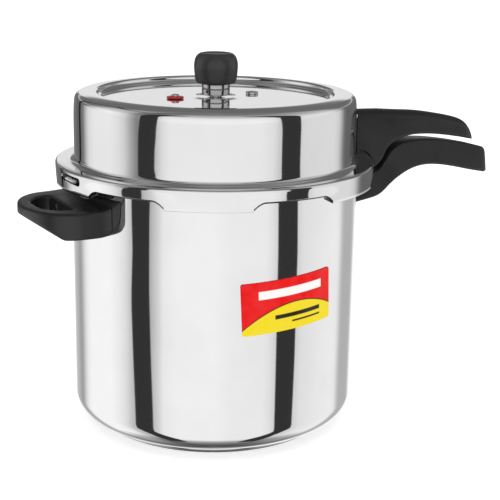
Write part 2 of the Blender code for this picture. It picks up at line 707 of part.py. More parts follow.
def main():
    clear_scene()
    mats = make_materials()
    lid = joint_frame("lid_frame")
    gasket = joint_frame("gasket_frame")
    rack = joint_frame("rack_frame")
    clip = joint_frame("clip_frame")
    weight = joint_frame("weight_frame")
    pin = joint_frame("pin_frame", INDICATOR_AT)
    make_pot_shell(mats)
    make_base(mats)
    make_label(mats)
    make_rack(mats, rack)
    make_pot_handle(mats)
    make_pot_handle_bracket(mats)
    make_pot_handle_screw(mats)
    make_helper_handle(mats)
    make_helper_bracket(mats)
    make_helper_screws(mats)
    make_gasket(mats, gasket)
    make_lid_shell(mats, lid)
    make_lid_handle(mats, lid)
    make_lid_handle_bracket(mats, lid)
    make_lid_handle_screw(mats, lid)
    make_vent(mats, lid)
    make_safety_plug(mats, lid)
    make_indicator(mats, lid, pin)
    make_weight(mats, clip, weight)


main()
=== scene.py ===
"""Looks of the outer-lid pressure canner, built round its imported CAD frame.

The sizes below are in millimetres in the row frame, whose origin is the centre of the
base's underside.  The long handles point along +X and the helper handle along -X.
"""

import math

import bmesh
import bpy
from mathutils import Matrix, Vector

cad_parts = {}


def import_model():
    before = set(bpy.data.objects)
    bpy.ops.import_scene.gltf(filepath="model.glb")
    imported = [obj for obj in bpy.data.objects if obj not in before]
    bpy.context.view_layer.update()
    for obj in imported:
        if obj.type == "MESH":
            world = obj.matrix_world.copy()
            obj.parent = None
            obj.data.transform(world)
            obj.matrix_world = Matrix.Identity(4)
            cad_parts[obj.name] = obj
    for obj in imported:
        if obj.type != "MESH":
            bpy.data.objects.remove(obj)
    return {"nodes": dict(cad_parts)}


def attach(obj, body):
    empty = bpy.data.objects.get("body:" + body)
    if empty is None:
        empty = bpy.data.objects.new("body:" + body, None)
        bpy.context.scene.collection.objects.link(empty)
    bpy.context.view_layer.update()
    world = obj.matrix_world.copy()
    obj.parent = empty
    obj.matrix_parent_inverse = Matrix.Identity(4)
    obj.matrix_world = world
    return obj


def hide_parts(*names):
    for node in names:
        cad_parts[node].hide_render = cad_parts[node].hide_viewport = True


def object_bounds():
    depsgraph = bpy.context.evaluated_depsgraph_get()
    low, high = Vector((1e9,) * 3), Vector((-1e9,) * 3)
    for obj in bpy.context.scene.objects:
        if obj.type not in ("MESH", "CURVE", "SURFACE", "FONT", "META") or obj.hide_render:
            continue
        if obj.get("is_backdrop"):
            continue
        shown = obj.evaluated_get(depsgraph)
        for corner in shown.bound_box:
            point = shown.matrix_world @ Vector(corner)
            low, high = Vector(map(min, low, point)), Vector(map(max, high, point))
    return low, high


MM = 0.001
AROUND = 360  # columns of a large turned piece
AROUND_SMALL = 96
SHEET = 1.5
GAP = 0.4

# Camera: where it stands and how its axis is turned, in metres and radians
CAMERA_AZIMUTH = math.radians(28.0)  # from -Y towards -X
CAMERA_DISTANCE = 1.08948
CAMERA_HEIGHT = 0.44343
CAMERA_LENS = 89.578
CAMERA_PITCH = 0.2614
CAMERA_YAW = 0.0296
CAMERA_ROLL = 0.0163

# Pot
POT_R = 126.0
POT_FLOOR_Z = 5.8
POT_CORNER_R = 18.5
RIM_Z = 223.0
RIM_BEND_R = 1.2
POT_LUG_R = 137.6
POT_RIM_R = 129.2
POT_LUG_HALF = 13.7
BASE_R = 108.0
BASE_SHEET = 0.8

# Lid
LUGS = 6
DISC_Z = 291.0
DISC_R = 98.6
RECESS_R = 103.4  # steep part of the wall round the disc
RING_BEND_R = 2.3
RING_Z = 296.5
LID_R = 124.1
LID_SHOULDER_R = 6.0
LID_SHOULDER_X = 117.2  # where the shoulder is centred
FLANGE_TOP_Z = 237.0
FLANGE_FILLET_R = 4.5
FLANGE_BEND_R = 2.0
SKIRT_R = 140.6
SKIRT_BEND_R = 0.4
LIP_Z = 219.0  # lowest line of a lug
LIP_R = 130.2
LIP_END_Z = 221.0
NOTCH_Z = 225.5
LID_LUG_HALF = 14.7
LID_LUG_FLARE = 19.4  # where the skirt's edge starts to fall towards a lug
LUG_BULGE = 0.3  # how far a lug stands out past the skirt beside it
SKIRT_ROWS = 9  # points down the skirt, round its bend and along the lip
BEND_ROWS = 5
LIP_ROWS = 4
SLOT_LOW_Z = 226.9
SLOT_HIGH_Z = 233.9
SLOT_HALF_WIDTH = 18.7
SLOT_MID_Y = -5.3

# Gasket
GASKET_R = 138.6
GASKET_DIMPLE = 9.4  # how far it is drawn in behind the slot
GASKET_BULGE = 9.3  # how far it comes out again at one place
PAINTED_SHADE_R = 134.5  # painted shade: the seal's colour is dark inside this radius
UNSHADED_R = 137.0

# Fittings
VENT_HOLE_R = 5.2
INDICATOR_AT = (-38.2, 2.7)
INDICATOR_HOLE_R = 4.6
PLUG_AT = (37.9, 2.5)
PLUG_HOLE_R = 3.9

# Weight
WEIGHT_R = 12.3
WEIGHT_LOW_Z = 292.8
WEIGHT_TOP_Z = 302.7
STEM_R = 7.6
STEM_TOP_Z = 320.4

# Long handles
LID_HANDLE_X = 143.5

# Helper handle
HELPER_END_X = -180.5
HELPER_SIDE_END_X = -146.0  # where the straight sides end
HELPER_HALF_WIDTH = 48.2
HELPER_LOW_Z = 188.0
HELPER_LOOP_Z = 210.4  # top of the loop
HELPER_WALL_Z = 218.6  # top beside the wall
HOLE_INNER_X = -144.8
HOLE_OUTER_X = -168.4
HOLE_HALF_WIDTH = 29.0
SEAM_X = -121.0
WING_LEAN = math.radians(66)  # direction of the cut under a wing
HELPER_GRAIN = 0.8
HELPER_ROUNDS = 34
HELPER_SCREW_Y = 15.0
HELPER_SCREW_Z = 203.0

# Rack
RACK_R = 105.0
RACK_LOW_Z = 7.7
RACK_TOP_Z = 21.2
RACK_SHEET = 1.2
RACK_HOLE_R = 9.0

# Label
LABEL_MID_DEG = -87.9
LABEL_WIDTH = 88.0
LABEL_HEIGHT = 44.6
LABEL_MID_Z = 135.8
LABEL_TILT = 3.0
LABEL_SHEET = 0.35
LABEL_ARCH_X = 6.2  # crown of the arch between its two colours
LABEL_ARCH_Y = 1.8
LABEL_ARCH_BEND = 0.0074


# ------------------------------------------------------------ outline helpers


def arc(centre, radius, start, end, steps):
    """Points of an arc, angles in degrees."""
    points = []
    for i in range(steps + 1):
        angle = math.radians(start + (end - start) * i / steps)
        points.append((centre[0] + radius * math.cos(angle), centre[1] + radius * math.sin(angle)))
    return points


def offset_path(path, distance):
    """The path moved sideways by a distance, to the right of its direction."""
    normals = []
    for a, b in zip(path, path[1:]):
        direction = (Vector(b) - Vector(a)).normalized()
        normals.append(Vector((direction.y, -direction.x)))
    moved = []
    for i, point in enumerate(path):
        before = normals[max(i - 1, 0)]
        after = normals[min(i, len(normals) - 1)]
        middle = (before + after).normalized()
        moved.append(tuple(Vector(point) + middle * distance / middle.dot(after)))
    return moved


def sheet_profile(path, thickness):
    """Closed outline of a sheet whose outer face follows the path."""
    return path + offset_path(path, thickness)[::-1]


def smooth_step(value):
    value = min(max(value, 0.0), 1.0)
    return value * value * (3 - 2 * value)


def smooth_rows(rows, steps):
    """Rows of numbers joined by smooth curves, with steps points for each span."""
    made = []
    for i in range(len(rows) - 1):
        here, there = rows[i], rows[i + 1]
        before = rows[max(i - 1, 0)]
        after = rows[min(i + 2, len(rows) - 1)]
        for k in range(steps):
            t = k / steps
            row = []
            for p0, p1, p2, p3 in zip(before, here, there, after):
                slope_in = (p2 - p0) / 2
                slope_out = (p3 - p1) / 2
                row.append(
                    p1 * (2 * t**3 - 3 * t**2 + 1) + slope_in * (t**3 - 2 * t**2 + t)
                    + p2 * (-2 * t**3 + 3 * t**2) + slope_out * (t**3 - t**2)
                )
            made.append(row)
    made.append(list(rows[-1]))
    return made


def rounded_polygon(corners, steps=10):
    """Outline of a polygon whose corners (x, y, radius) are rounded by arcs."""
    outline = []
    count = len(corners)
    for i, (x, y, radius) in enumerate(corners):
        corner = Vector((x, y))
        if radius == 0:
            outline.append((x, y))
            continue
        back = (Vector(corners[i - 1][:2]) - corner).normalized()
        on = (Vector(corners[(i + 1) % count][:2]) - corner).normalized()
        half = back.angle(on) / 2
        start = corner + back * radius / math.tan(half)
        end = corner + on * radius / math.tan(half)
        centre = corner + (back + on).normalized() * radius / math.sin(half)
        for k in range(steps + 1):
            ray = (start - centre).lerp(end - centre, k / steps).normalized()
            outline.append(tuple(centre + ray * radius))
    return outline


def ring_places(count, radius, first=0.0):
    turns = [first + 2 * math.pi * i / count for i in range(count)]
    return [(radius * math.cos(t), radius * math.sin(t)) for t in turns]


def circle(radius, steps=48, centre=(0.0, 0.0)):
    return arc(centre, radius, 0, 360 * (steps - 1) / steps, steps - 1)


def sector(inner, outer, middle, half, steps=24):
    outside = arc((0, 0), outer, middle - half, middle + half, steps)
    inside = arc((0, 0), inner, middle + half, middle - half, steps)
    return outside + inside


def box(low, high):
    return [low, (high[0], low[1]), high, (low[0], high[1])]


# --------------------------------------------------------------- mesh helpers


def mesh_object(name, bm, mat=None, crease=35.0):
    """A bmesh in millimetres as a linked object in metres, faces out."""
    bmesh.ops.scale(bm, vec=(MM, MM, MM), verts=bm.verts)
    bmesh.ops.recalc_face_normals(bm, faces=bm.faces)
    if bm.calc_volume(signed=True) < 0:
        bmesh.ops.reverse_faces(bm, faces=bm.faces)
    mesh = bpy.data.meshes.new(name)
    bm.to_mesh(mesh)
    bm.free()
    mesh.shade_smooth()
    mesh.set_sharp_from_angle(angle=math.radians(crease))
    if mat:
        mesh.materials.append(mat)
    obj = bpy.data.objects.new(name, mesh)
    bpy.context.scene.collection.objects.link(obj)
    return obj


def apply_modifiers(obj, crease=35.0):
    """Replace the mesh by its evaluated copy."""
    graph = bpy.context.evaluated_depsgraph_get()
    mesh = bpy.data.meshes.new_from_object(obj.evaluated_get(graph))
    obj.modifiers.clear()
    obj.data = mesh
    mesh.shade_smooth()
    mesh.set_sharp_from_angle(angle=math.radians(crease))


def carve(obj, cutter, operation="DIFFERENCE", crease=35.0):
    """Cut a cutter out of a piece, or join it on, and drop the cutter."""
    modifier = obj.modifiers.new("carve", "BOOLEAN")
    modifier.operation = operation
    modifier.solver = "EXACT"
    modifier.object = cutter
    apply_modifiers(obj, crease)
    bpy.data.objects.remove(cutter)


def round_edges(obj, width, segments=4, angle=35.0):
    modifier = obj.modifiers.new("round_edges", "BEVEL")
    modifier.width = width * MM
    modifier.segments = segments
    modifier.limit_method = "ANGLE"
    modifier.angle_limit = math.radians(angle)
    modifier.harden_normals = False
    apply_modifiers(obj)


def declare(obj, body, slot, *nodes):
    """The piece rides on its body and stands for its nodes; the slot argument is not used."""
    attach(obj, body)
    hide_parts(*nodes)
    return obj


def loft(name, sections, mat=None, closed=False, crease=35.0):
    """A skin over rings of points; the ends are capped unless the loft closes."""
    bm = bmesh.new()
    rings = [[bm.verts.new(point) for point in section] for section in sections]
    count = len(rings[0])
    pairs = list(zip(rings, rings[1:]))
    if closed:
        pairs.append((rings[-1], rings[0]))
    for ring, after in pairs:
        for i in range(count):
            k = (i + 1) % count
            bm.faces.new((ring[i], ring[k], after[k], after[i]))
    if not closed:
        bm.faces.new(rings[0])
        bm.faces.new(rings[-1])
    bmesh.ops.remove_doubles(bm, verts=bm.verts, dist=1e-4)
    return mesh_object(name, bm, mat, crease)


def turned(name, profile, mat, steps=AROUND_SMALL, at=(0.0, 0.0), crease=35.0):
    """A turned piece: the closed profile (radius, z) round a vertical axis."""
    sections = []
    for i in range(steps):
        turn = 2 * math.pi * i / steps
        c, s = math.cos(turn), math.sin(turn)
        sections.append([(at[0] + r * c, at[1] + r * s, z) for r, z in profile])
    return loft(name, sections, mat, closed=True, crease=crease)


def prism(name, outline, direction, start, end, mat=None):
    """An outline in the plane across a direction, extruded along it."""
    def place(u, v, w):
        return {"X": (w, u, v), "Y": (u, w, v), "Z": (u, v, w)}[direction]

    return loft(name, [[place(u, v, w) for u, v in outline] for w in (start, end)], mat)


def soften(path, radius, steps=6):
    """Round every inner corner of an open path, where its two sides leave room."""
    out = [path[0]]
    for a, b, c in zip(path, path[1:], path[2:]):
        corner = Vector(b)
        back, on = Vector(a) - corner, Vector(c) - corner
        angle = back.angle(on)
        if angle > math.radians(176):
            out.append(b)
            continue
        reach = min(radius / math.tan(angle / 2), back.length * 0.48, on.length * 0.48)
        start = corner + back.normalized() * reach
        end = corner + on.normalized() * reach
        for k in range(steps + 1):
            t = k / steps
            point = start * (1 - t) ** 2 + corner * 2 * t * (1 - t) + end * t**2
            out.append(tuple(point))
    out.append(path[-1])
    return out


# ------------------------------------------------------------------ materials


def new_material(name):
    mat = bpy.data.materials.new(name)
    mat.use_nodes = True
    return mat, mat.node_tree, mat.node_tree.nodes["Principled BSDF"]


def add(tree, kind, **settings):
    """A node with its properties and, by number, its socket values."""
    node = tree.nodes.new(kind)
    for key, value in settings.items():
        if key.startswith("in_"):
            node.inputs[int(key[3:])].default_value = value
        else:
            setattr(node, key, value)
    return node


def place_node(tree, scale=(1.0, 1.0, 1.0)):
    """Object coordinates, stretched."""
    coords = add(tree, "ShaderNodeTexCoord")
    mapping = add(tree, "ShaderNodeMapping")
    mapping.inputs["Scale"].default_value = scale
    tree.links.new(coords.outputs["Object"], mapping.inputs["Vector"])
    return mapping.outputs["Vector"]


def noise(tree, vector, scale, detail=3.0, rough=0.55):
    node = add(tree, "ShaderNodeTexNoise")
    node.inputs["Scale"].default_value = scale
    node.inputs["Detail"].default_value = detail
    node.inputs["Roughness"].default_value = rough
    tree.links.new(vector, node.inputs["Vector"])
    return node.outputs["Fac"]


def remap(tree, value, low, high, to_low, to_high):
    node = add(tree, "ShaderNodeMapRange")
    for socket, number in zip(("From Min", "From Max", "To Min", "To Max"), (low, high, to_low, to_high)):
        node.inputs[socket].default_value = number
    tree.links.new(value, node.inputs["Value"])
    return node.outputs["Result"]


def mix_colours(tree, factor, first, second):
    node = add(tree, "ShaderNodeMix", data_type="RGBA")
    for socket, colour in ((6, first), (7, second)):
        if isinstance(colour, tuple):
            node.inputs[socket].default_value = (*colour, 1.0)
        else:
            tree.links.new(colour, node.inputs[socket])
    tree.links.new(factor, node.inputs[0])
    return node.outputs[2]


def bump(tree, height, strength, distance):
    node = add(tree, "ShaderNodeBump")
    node.inputs["Strength"].default_value = strength
    node.inputs["Distance"].default_value = distance
    tree.links.new(height, node.inputs["Height"])
    return node.outputs["Normal"]


def finish(tree, shader, colour, rough, normal):
    """Join colour, roughness and bump to a shader."""
    for socket, value in (("Base Color", colour), ("Roughness", rough), ("Normal", normal)):
        tree.links.new(value, shader.inputs[socket])


def polar_vector(tree, along, up):
    """Turned-metal coordinates: round the axis, out from it and up, each scaled."""
    coords = add(tree, "ShaderNodeTexCoord")
    split = add(tree, "ShaderNodeSeparateXYZ")
    tree.links.new(coords.outputs["Object"], split.inputs[0])
    turn = add(tree, "ShaderNodeMath", operation="ARCTAN2")
    tree.links.new(split.outputs[1], turn.inputs[0])
    tree.links.new(split.outputs[0], turn.inputs[1])
    flat = add(tree, "ShaderNodeCombineXYZ")
    tree.links.new(split.outputs[0], flat.inputs[0])
    tree.links.new(split.outputs[1], flat.inputs[1])
    length = add(tree, "ShaderNodeVectorMath", operation="LENGTH")
    tree.links.new(flat.outputs[0], length.inputs[0])
    joined = add(tree, "ShaderNodeCombineXYZ")
    for i, (value, scale) in enumerate(
        ((turn.outputs[0], along), (length.outputs["Value"], up), (split.outputs[2], up))
    ):
        scaled = add(tree, "ShaderNodeMath", operation="MULTIPLY", in_1=scale)
        tree.links.new(value, scaled.inputs[0])
        tree.links.new(scaled.outputs[0], joined.inputs[i])
    return joined.outputs[0]


def steel(name, colour, rough_low, rough_high, streaks, depth):
    """Steel with turning or polishing streaks round the axis."""
    mat, tree, shader = new_material(name)
    around = polar_vector(tree, 1.5, streaks)
    lines = noise(tree, around, 1.0, 4.0, 0.65)
    cloud = noise(tree, place_node(tree), 22.0, 3.0)
    dark = tuple(c * 0.965 for c in colour)
    mottled = mix_colours(tree, remap(tree, cloud, 0.35, 0.65, 0, 1), dark, colour)
    rough = remap(tree, lines, 0.3, 0.7, rough_low, rough_high)
    finish(tree, shader, mottled, rough, bump(tree, lines, depth, 0.0001))
    shader.inputs["Metallic"].default_value = 1.0
    return mat


def plastic(name, colour, lighter, rough_low, rough_high, specular):
    """Moulded plastic: faint mottling and a fine matt grain."""
    mat, tree, shader = new_material(name)
    here = place_node(tree)
    mottle = noise(tree, here, 35.0, 4.0)
    grain = noise(tree, here, 1600.0, 2.0)
    mottled = mix_colours(tree, remap(tree, mottle, 0.3, 0.7, 0, 1), colour, lighter)
    rough = remap(tree, mottle, 0.3, 0.7, rough_low, rough_high)
    finish(tree, shader, mottled, rough, bump(tree, grain, 0.12, 0.0003))
    shader.inputs["Specular IOR Level"].default_value = specular
    return mat


def rubber(name, colour, darker, rough):
    """Moulded rubber: faintly clouded, with a very fine grain."""
    mat, tree, shader = new_material(name)
    here = place_node(tree)
    cloud = noise(tree, here, 60.0, 4.0)
    grain = noise(tree, here, 2500.0, 2.0)
    clouded = mix_colours(tree, remap(tree, cloud, 0.3, 0.7, 0, 1), darker, colour)
    grained = remap(tree, grain, 0.3, 0.7, rough - 0.06, rough + 0.06)
    finish(tree, shader, clouded, grained, bump(tree, grain, 0.15, 0.0002))
    shader.inputs["Subsurface Weight"].default_value = 0.05
    return mat


def seal_rubber():
    """Off-white silicone, with painted shade: its colour goes dark on the inner side of the ring, which lies in
    shade inside the lid and behind the release slot.
    """
    mat = rubber("off_white_silicone", (0.86, 0.85, 0.83), (0.80, 0.79, 0.76), 0.5)
    tree = mat.node_tree
    colour = tree.nodes["Principled BSDF"].inputs["Base Color"]
    own_colour = colour.links[0].from_socket
    split = add(tree, "ShaderNodeSeparateXYZ")
    tree.links.new(polar_vector(tree, 1.0, 1.0), split.inputs[0])
    # painted shade: from the rubber's own colour to near black towards the inner side
    outside = remap(tree, split.outputs[1], PAINTED_SHADE_R * MM, UNSHADED_R * MM, 0.0, 1.0)
    tree.links.new(mix_colours(tree, outside, (0.035, 0.033, 0.03), own_colour), colour)
    return mat


def step(tree, value, edge, softness=0.35):
    """0 below the edge and 1 above it, in millimetres, with a soft border."""
    return remap(tree, value, edge - softness, edge + softness, 0.0, 1.0)


def combine(tree, operation, first, second):
    node = add(tree, "ShaderNodeMath", operation=operation)
    for i, value in enumerate((first, second)):
        if isinstance(value, (int, float)):
            node.inputs[i].default_value = value
        else:
            tree.links.new(value, node.inputs[i])
    return node.outputs[0]


def bar_mask(tree, across, up, middle, size, softness=0.3):
    """1 inside an upright rectangle of the label, in millimetres."""
    mask = None
    for value, centre, extent in ((across, middle[0], size[0]), (up, middle[1], size[1])):
        away = combine(tree, "ABSOLUTE", combine(tree, "SUBTRACT", value, centre), 0.0)
        inside = remap(tree, away, extent / 2 - softness, extent / 2 + softness, 1.0, 0.0)
        mask = inside if mask is None else combine(tree, "MULTIPLY", mask, inside)
    return mask


def label_material():
    """A plain two-colour printed label with blank bars and no lettering."""
    mat, tree, shader = new_material("printed_label")
    uv = add(tree, "ShaderNodeUVMap", uv_map="label")
    split = add(tree, "ShaderNodeSeparateXYZ")
    tree.links.new(uv.outputs[0], split.inputs[0])
    across = combine(tree, "MULTIPLY", combine(tree, "SUBTRACT", split.outputs[0], 0.5), LABEL_WIDTH)
    up = combine(tree, "MULTIPLY", combine(tree, "SUBTRACT", split.outputs[1], 0.5), LABEL_HEIGHT)
    aside = combine(tree, "SUBTRACT", across, LABEL_ARCH_X)
    arch = combine(tree, "MULTIPLY", combine(tree, "MULTIPLY", aside, aside), LABEL_ARCH_BEND)
    above_arch = combine(tree, "ADD", up, arch)
    red, yellow = (0.78, 0.003, 0.004), (0.86, 0.68, 0.012)
    white, dark = (0.90, 0.88, 0.86), (0.02, 0.016, 0.012)
    paint = mix_colours(tree, step(tree, above_arch, LABEL_ARCH_Y - 1.0), yellow, dark)
    paint = mix_colours(tree, step(tree, above_arch, LABEL_ARCH_Y), paint, red)
    for middle, size, colour in (
        ((2.0, 11.0), (62.0, 7.0), white),
        ((8.0, -9.5), (46.0, 3.6), dark),
        ((16.0, -15.2), (30.0, 1.6), dark),
    ):
        paint = mix_colours(tree, bar_mask(tree, across, up, middle, size), paint, colour)
    shade = noise(tree, place_node(tree), 90.0, 3.0)
    worn = mix_colours(tree, remap(tree, shade, 0.35, 0.65, 0.0, 0.02), paint, white)
    fibre = noise(tree, place_node(tree), 700.0, 3.0)
    finish(tree, shader, worn, remap(tree, shade, 0.3, 0.7, 0.26, 0.36), bump(tree, fibre, 0.08, 0.0002))
    shader.inputs["Specular IOR Level"].default_value = 0.1
    return mat


def make_materials():
    return {
        "mirror": steel("mirror_steel", (0.955, 0.955, 0.96), 0.030, 0.055, 900.0, 0.012),
        "weight": steel("weight_steel", (0.50, 0.50, 0.51), 0.05, 0.09, 900.0, 0.012),
        # painted shade and reflection: near-black steel for the skirt's lower edge and the lug ends
        "cut": steel("edge_shade_steel", (0.10, 0.10, 0.10), 0.25, 0.40, 2600.0, 0.12),
        "satin": steel("satin_steel", (0.62, 0.62, 0.63), 0.22, 0.34, 2600.0, 0.12),
        "aluminium": steel("cast_aluminium", (0.78, 0.79, 0.80), 0.30, 0.42, 900.0, 0.20),
        "black": plastic("black_phenolic", (0.008, 0.008, 0.009), (0.013, 0.013, 0.014), 0.33, 0.42, 0.55),
        "knob": plastic("black_knob", (0.028, 0.028, 0.030), (0.040, 0.040, 0.042), 0.30, 0.38, 0.55),
        "seal": seal_rubber(),
        "red": rubber("red_silicone", (0.58, 0.022, 0.014), (0.46, 0.016, 0.010), 0.4),
        "label": label_material(),
    }


# ------------------------------------------------------------------------ pot


def from_lug(degrees):
    """Degrees between a direction and the middle of the nearest lug."""
    pitch = 360 / LUGS
    return abs((degrees + pitch / 2) % pitch - pitch / 2)


def lug_share(degrees, half, sweep):
    """1 over a lug and 0 between lugs, with a smooth climb of the sweep's width."""
    return 1 - smooth_step((from_lug(degrees) - half + sweep / 2) / sweep)


def make_pot_body(mats):
    corner = (POT_R - POT_CORNER_R, POT_FLOOR_Z + POT_CORNER_R)
    bend = (POT_R + RIM_BEND_R, RIM_Z - RIM_BEND_R)
    wall = arc(bend, RIM_BEND_R, 90, 180, 8)
    wall += [(POT_R, 180.0), (POT_R, 130.0), (POT_R, 80.0), (POT_R, 45.0)]
    wall += [(POT_R, 32.0), (POT_R, 27.0)]
    wall += arc(corner, POT_CORNER_R, 0, -90, 30)
    wall += [(80.0, POT_FLOOR_Z), (50.0, POT_FLOOR_Z), (20.0, POT_FLOOR_Z), (0.0, POT_FLOOR_Z)]
    sections = []
    for i in range(AROUND):
        degrees = 360 * i / AROUND
        rim = POT_RIM_R + (POT_LUG_R - POT_RIM_R) * lug_share(degrees, POT_LUG_HALF, 2.5)
        outline = sheet_profile([(rim, RIM_Z)] + wall, SHEET)
        edge = [(rim + 0.35, RIM_Z + 0.45), (rim + 0.35, RIM_Z + SHEET - 0.45)]
        c, s = math.cos(math.radians(degrees)), math.sin(math.radians(degrees))
        sections.append([(r * c, r * s, z) for r, z in outline + edge[::-1]])
    pot = loft("pot_body", sections, mats["mirror"], closed=True)
    return declare(pot, "pot", "polished_steel", "pot_shell")


def make_base_dish(mats):
    side = [(107.5, 5.2), (107.9, 5.05), (BASE_R, 4.7), (BASE_R, 4.3)]
    side += [(107.7, 3.4), (107.15, 2.3), (106.4, 1.2), (105.5, 0.4), (104.4, 0.05), (103.4, 0.0)]
    path = smooth_rows(side, 2)
    path += [(90.0, 0.0), (60.0, 0.0), (58.5, 0.25), (56.5, 0.25), (55.0, 0.0), (30.0, 0.0), (0.0, 0.0)]
    profile = sheet_profile([tuple(point) for point in path], BASE_SHEET)
    dish = turned("base_dish", profile, mats["mirror"], AROUND)
    return declare(dish, "pot", "polished_steel", "base_cap")


def make_label_sheet(mats):
    """The label, wrapped on the wall and slightly tilted, with a UV for its print."""
    inner = POT_R + GAP
    columns, rows = 64, 24
    bm = bmesh.new()
    layer = bm.loops.layers.uv.new("label")
    tilt = Matrix.Rotation(math.radians(LABEL_TILT), 2)
    corner = 2.0

    def wrap(u, v, radius):
        along, up = tilt @ Vector(((u - 0.5) * LABEL_WIDTH, (v - 0.5) * LABEL_HEIGHT))
        turn = math.radians(LABEL_MID_DEG) + along / inner
        return (radius * math.cos(turn), radius * math.sin(turn), up + LABEL_MID_Z)

    def rounded(u, v):
        """Grid place, pulled in so that the sheet's corners are round."""
        x, y = (u - 0.5) * LABEL_WIDTH, (v - 0.5) * LABEL_HEIGHT
        limit_x, limit_y = LABEL_WIDTH / 2 - corner, LABEL_HEIGHT / 2 - corner
        over_x, over_y = max(abs(x) - limit_x, 0), max(abs(y) - limit_y, 0)
        if over_x > 0 and over_y > 0:
            square = max(over_x, over_y)
            length = math.hypot(over_x, over_y)
            x = math.copysign(limit_x + over_x * square / length, x)
            y = math.copysign(limit_y + over_y * square / length, y)
        return x / LABEL_WIDTH + 0.5, y / LABEL_HEIGHT + 0.5

    def spread(count, length):
        """Fractions along a side, closer together near both rounded corners."""
        edge = [corner * k / 4 for k in range(4)]
        middle = [corner + (length - 2 * corner) * k / count for k in range(count + 1)]
        places = edge + middle + [length - e for e in edge[::-1]]
        return [p / length for p in places]

    us, vs = spread(columns, LABEL_WIDTH), spread(rows, LABEL_HEIGHT)
    sides = []
    for radius in (inner, inner + LABEL_SHEET):
        sides.append([[bm.verts.new(wrap(*rounded(u, v), radius)) for v in vs] for u in us])
    for grid, turn_over in ((sides[0], True), (sides[1], False)):
        for i in range(len(us) - 1):
            for k in range(len(vs) - 1):
                quad = [(i, k), (i + 1, k), (i + 1, k + 1), (i, k + 1)]
                face = bm.faces.new([grid[a][b] for a, b in (quad[::-1] if turn_over else quad)])
                for loop, (a, b) in zip(face.loops, quad[::-1] if turn_over else quad):
                    loop[layer].uv = rounded(us[a], vs[b])
    last_u, last_v = len(us) - 1, len(vs) - 1
    border = [(i, 0) for i in range(last_u)] + [(last_u, k) for k in range(last_v)]
    border += [(i, last_v) for i in range(last_u, 0, -1)] + [(0, k) for k in range(last_v, 0, -1)]
    for here, there in zip(border, border[1:] + border[:1]):
        quad = [sides[0][here[0]][here[1]], sides[0][there[0]][there[1]],
                sides[1][there[0]][there[1]], sides[1][here[0]][here[1]]]
        face = bm.faces.new(quad)
        for loop, place in zip(face.loops, (here, there, there, here)):
            loop[layer].uv = rounded(us[place[0]], vs[place[1]])
    label = mesh_object("label_sheet", bm, mats["label"])
    return declare(label, "pot", "label_paper", "label")


# ------------------------------------------------------------------------ lid


def lid_fixed_path():
    """Outer face of the lid from the vent hole to the top of the skirt."""
    path = [(VENT_HOLE_R, DISC_Z), (9.0, DISC_Z), (15.6, DISC_Z)]
    path += [(16.0, DISC_Z + 0.08), (16.5, DISC_Z + 0.12), (17.0, DISC_Z + 0.08), (17.4, DISC_Z)]
    path += [(30.0, DISC_Z), (50.0, DISC_Z), (70.0, DISC_Z), (88.0, DISC_Z)]
    bend_z = RING_Z - RING_BEND_R
    for k in range(15):
        turn = math.pi / 2 * k / 14
        r = DISC_R + (RECESS_R - DISC_R) * math.sin(turn)
        path.append((r, bend_z - (bend_z - DISC_Z) * math.cos(turn)))
    path += arc((RECESS_R + RING_BEND_R, bend_z), RING_BEND_R, 180, 91, 10)[1:]
    crown_start, crown_end = path[-1], (LID_SHOULDER_X + 0.73, RING_Z - 1.15)
    for k in range(1, 12):
        t = k / 12
        path.append((crown_start[0] + (crown_end[0] - crown_start[0]) * t,
                     crown_start[1] + (crown_end[1] - crown_start[1]) * t**1.8))
    path += arc((LID_SHOULDER_X, RING_Z - 7.1), LID_SHOULDER_R, 83, 8, 16)
    path += [(LID_R - 0.55, 286.6), (LID_R - 0.26, 282.2), (LID_R - 0.08, 277.5), (LID_R, 272.0)]
    path += [(LID_R, 264.0), (LID_R, 256.0), (LID_R, 249.0)]
    path += arc((LID_R + FLANGE_FILLET_R, FLANGE_TOP_Z + FLANGE_FILLET_R), FLANGE_FILLET_R, 180, 270, 12)
    path += [(LID_R + 8.5, FLANGE_TOP_Z)]
    path += arc((SKIRT_R - FLANGE_BEND_R, FLANGE_TOP_Z - FLANGE_BEND_R), FLANGE_BEND_R, 90, 0, 9)
    return path


def lug_columns():
    """Angles of the lid's columns, closer together at the ends of the lugs."""
    side = [1.4 * k for k in range(11)]
    side += [LID_LUG_HALF + d for d in (-0.3, -0.15, -0.05, 0.02, 0.1)]
    side += [LID_LUG_HALF + (LID_LUG_FLARE - LID_LUG_HALF) * k / 12 for k in range(1, 13)]
    side += [20.0 + 1.25 * k for k in range(9)]
    pitch = 360 / LUGS
    turns = []
    for i in range(LUGS):
        turns += [pitch * i + d for d in side] + [pitch * (i + 1) - d for d in side[1:-1][::-1]]
    return turns


def lug_rows(start_z, inside_r):
    """Outer and inner points of the skirt over a lug: down, round its bend and in."""
    low = (SKIRT_R - SKIRT_BEND_R, LIP_Z + SKIRT_BEND_R)
    bend = arc(low, SKIRT_BEND_R, 0, -100, BEND_ROWS)
    outer = [(SKIRT_R, start_z + (low[1] - start_z) * k / SKIRT_ROWS) for k in range(1, SKIRT_ROWS)] + bend
    inner = [(inside_r, max(z, LIP_Z + SHEET)) for _, z in outer]
    lip = (Vector((LIP_R, LIP_END_Z)) - Vector(bend[-1])) / LIP_ROWS
    across = Vector((lip.y, -lip.x)).normalized() * SHEET
    for k in range(1, LIP_ROWS + 1):
        point = Vector(bend[-1]) + lip * k
        outer.append(tuple(point))
        inner.append((min(point.x + across.x, inside_r), max(point.y + across.y, LIP_Z + SHEET)))
    return outer, inner


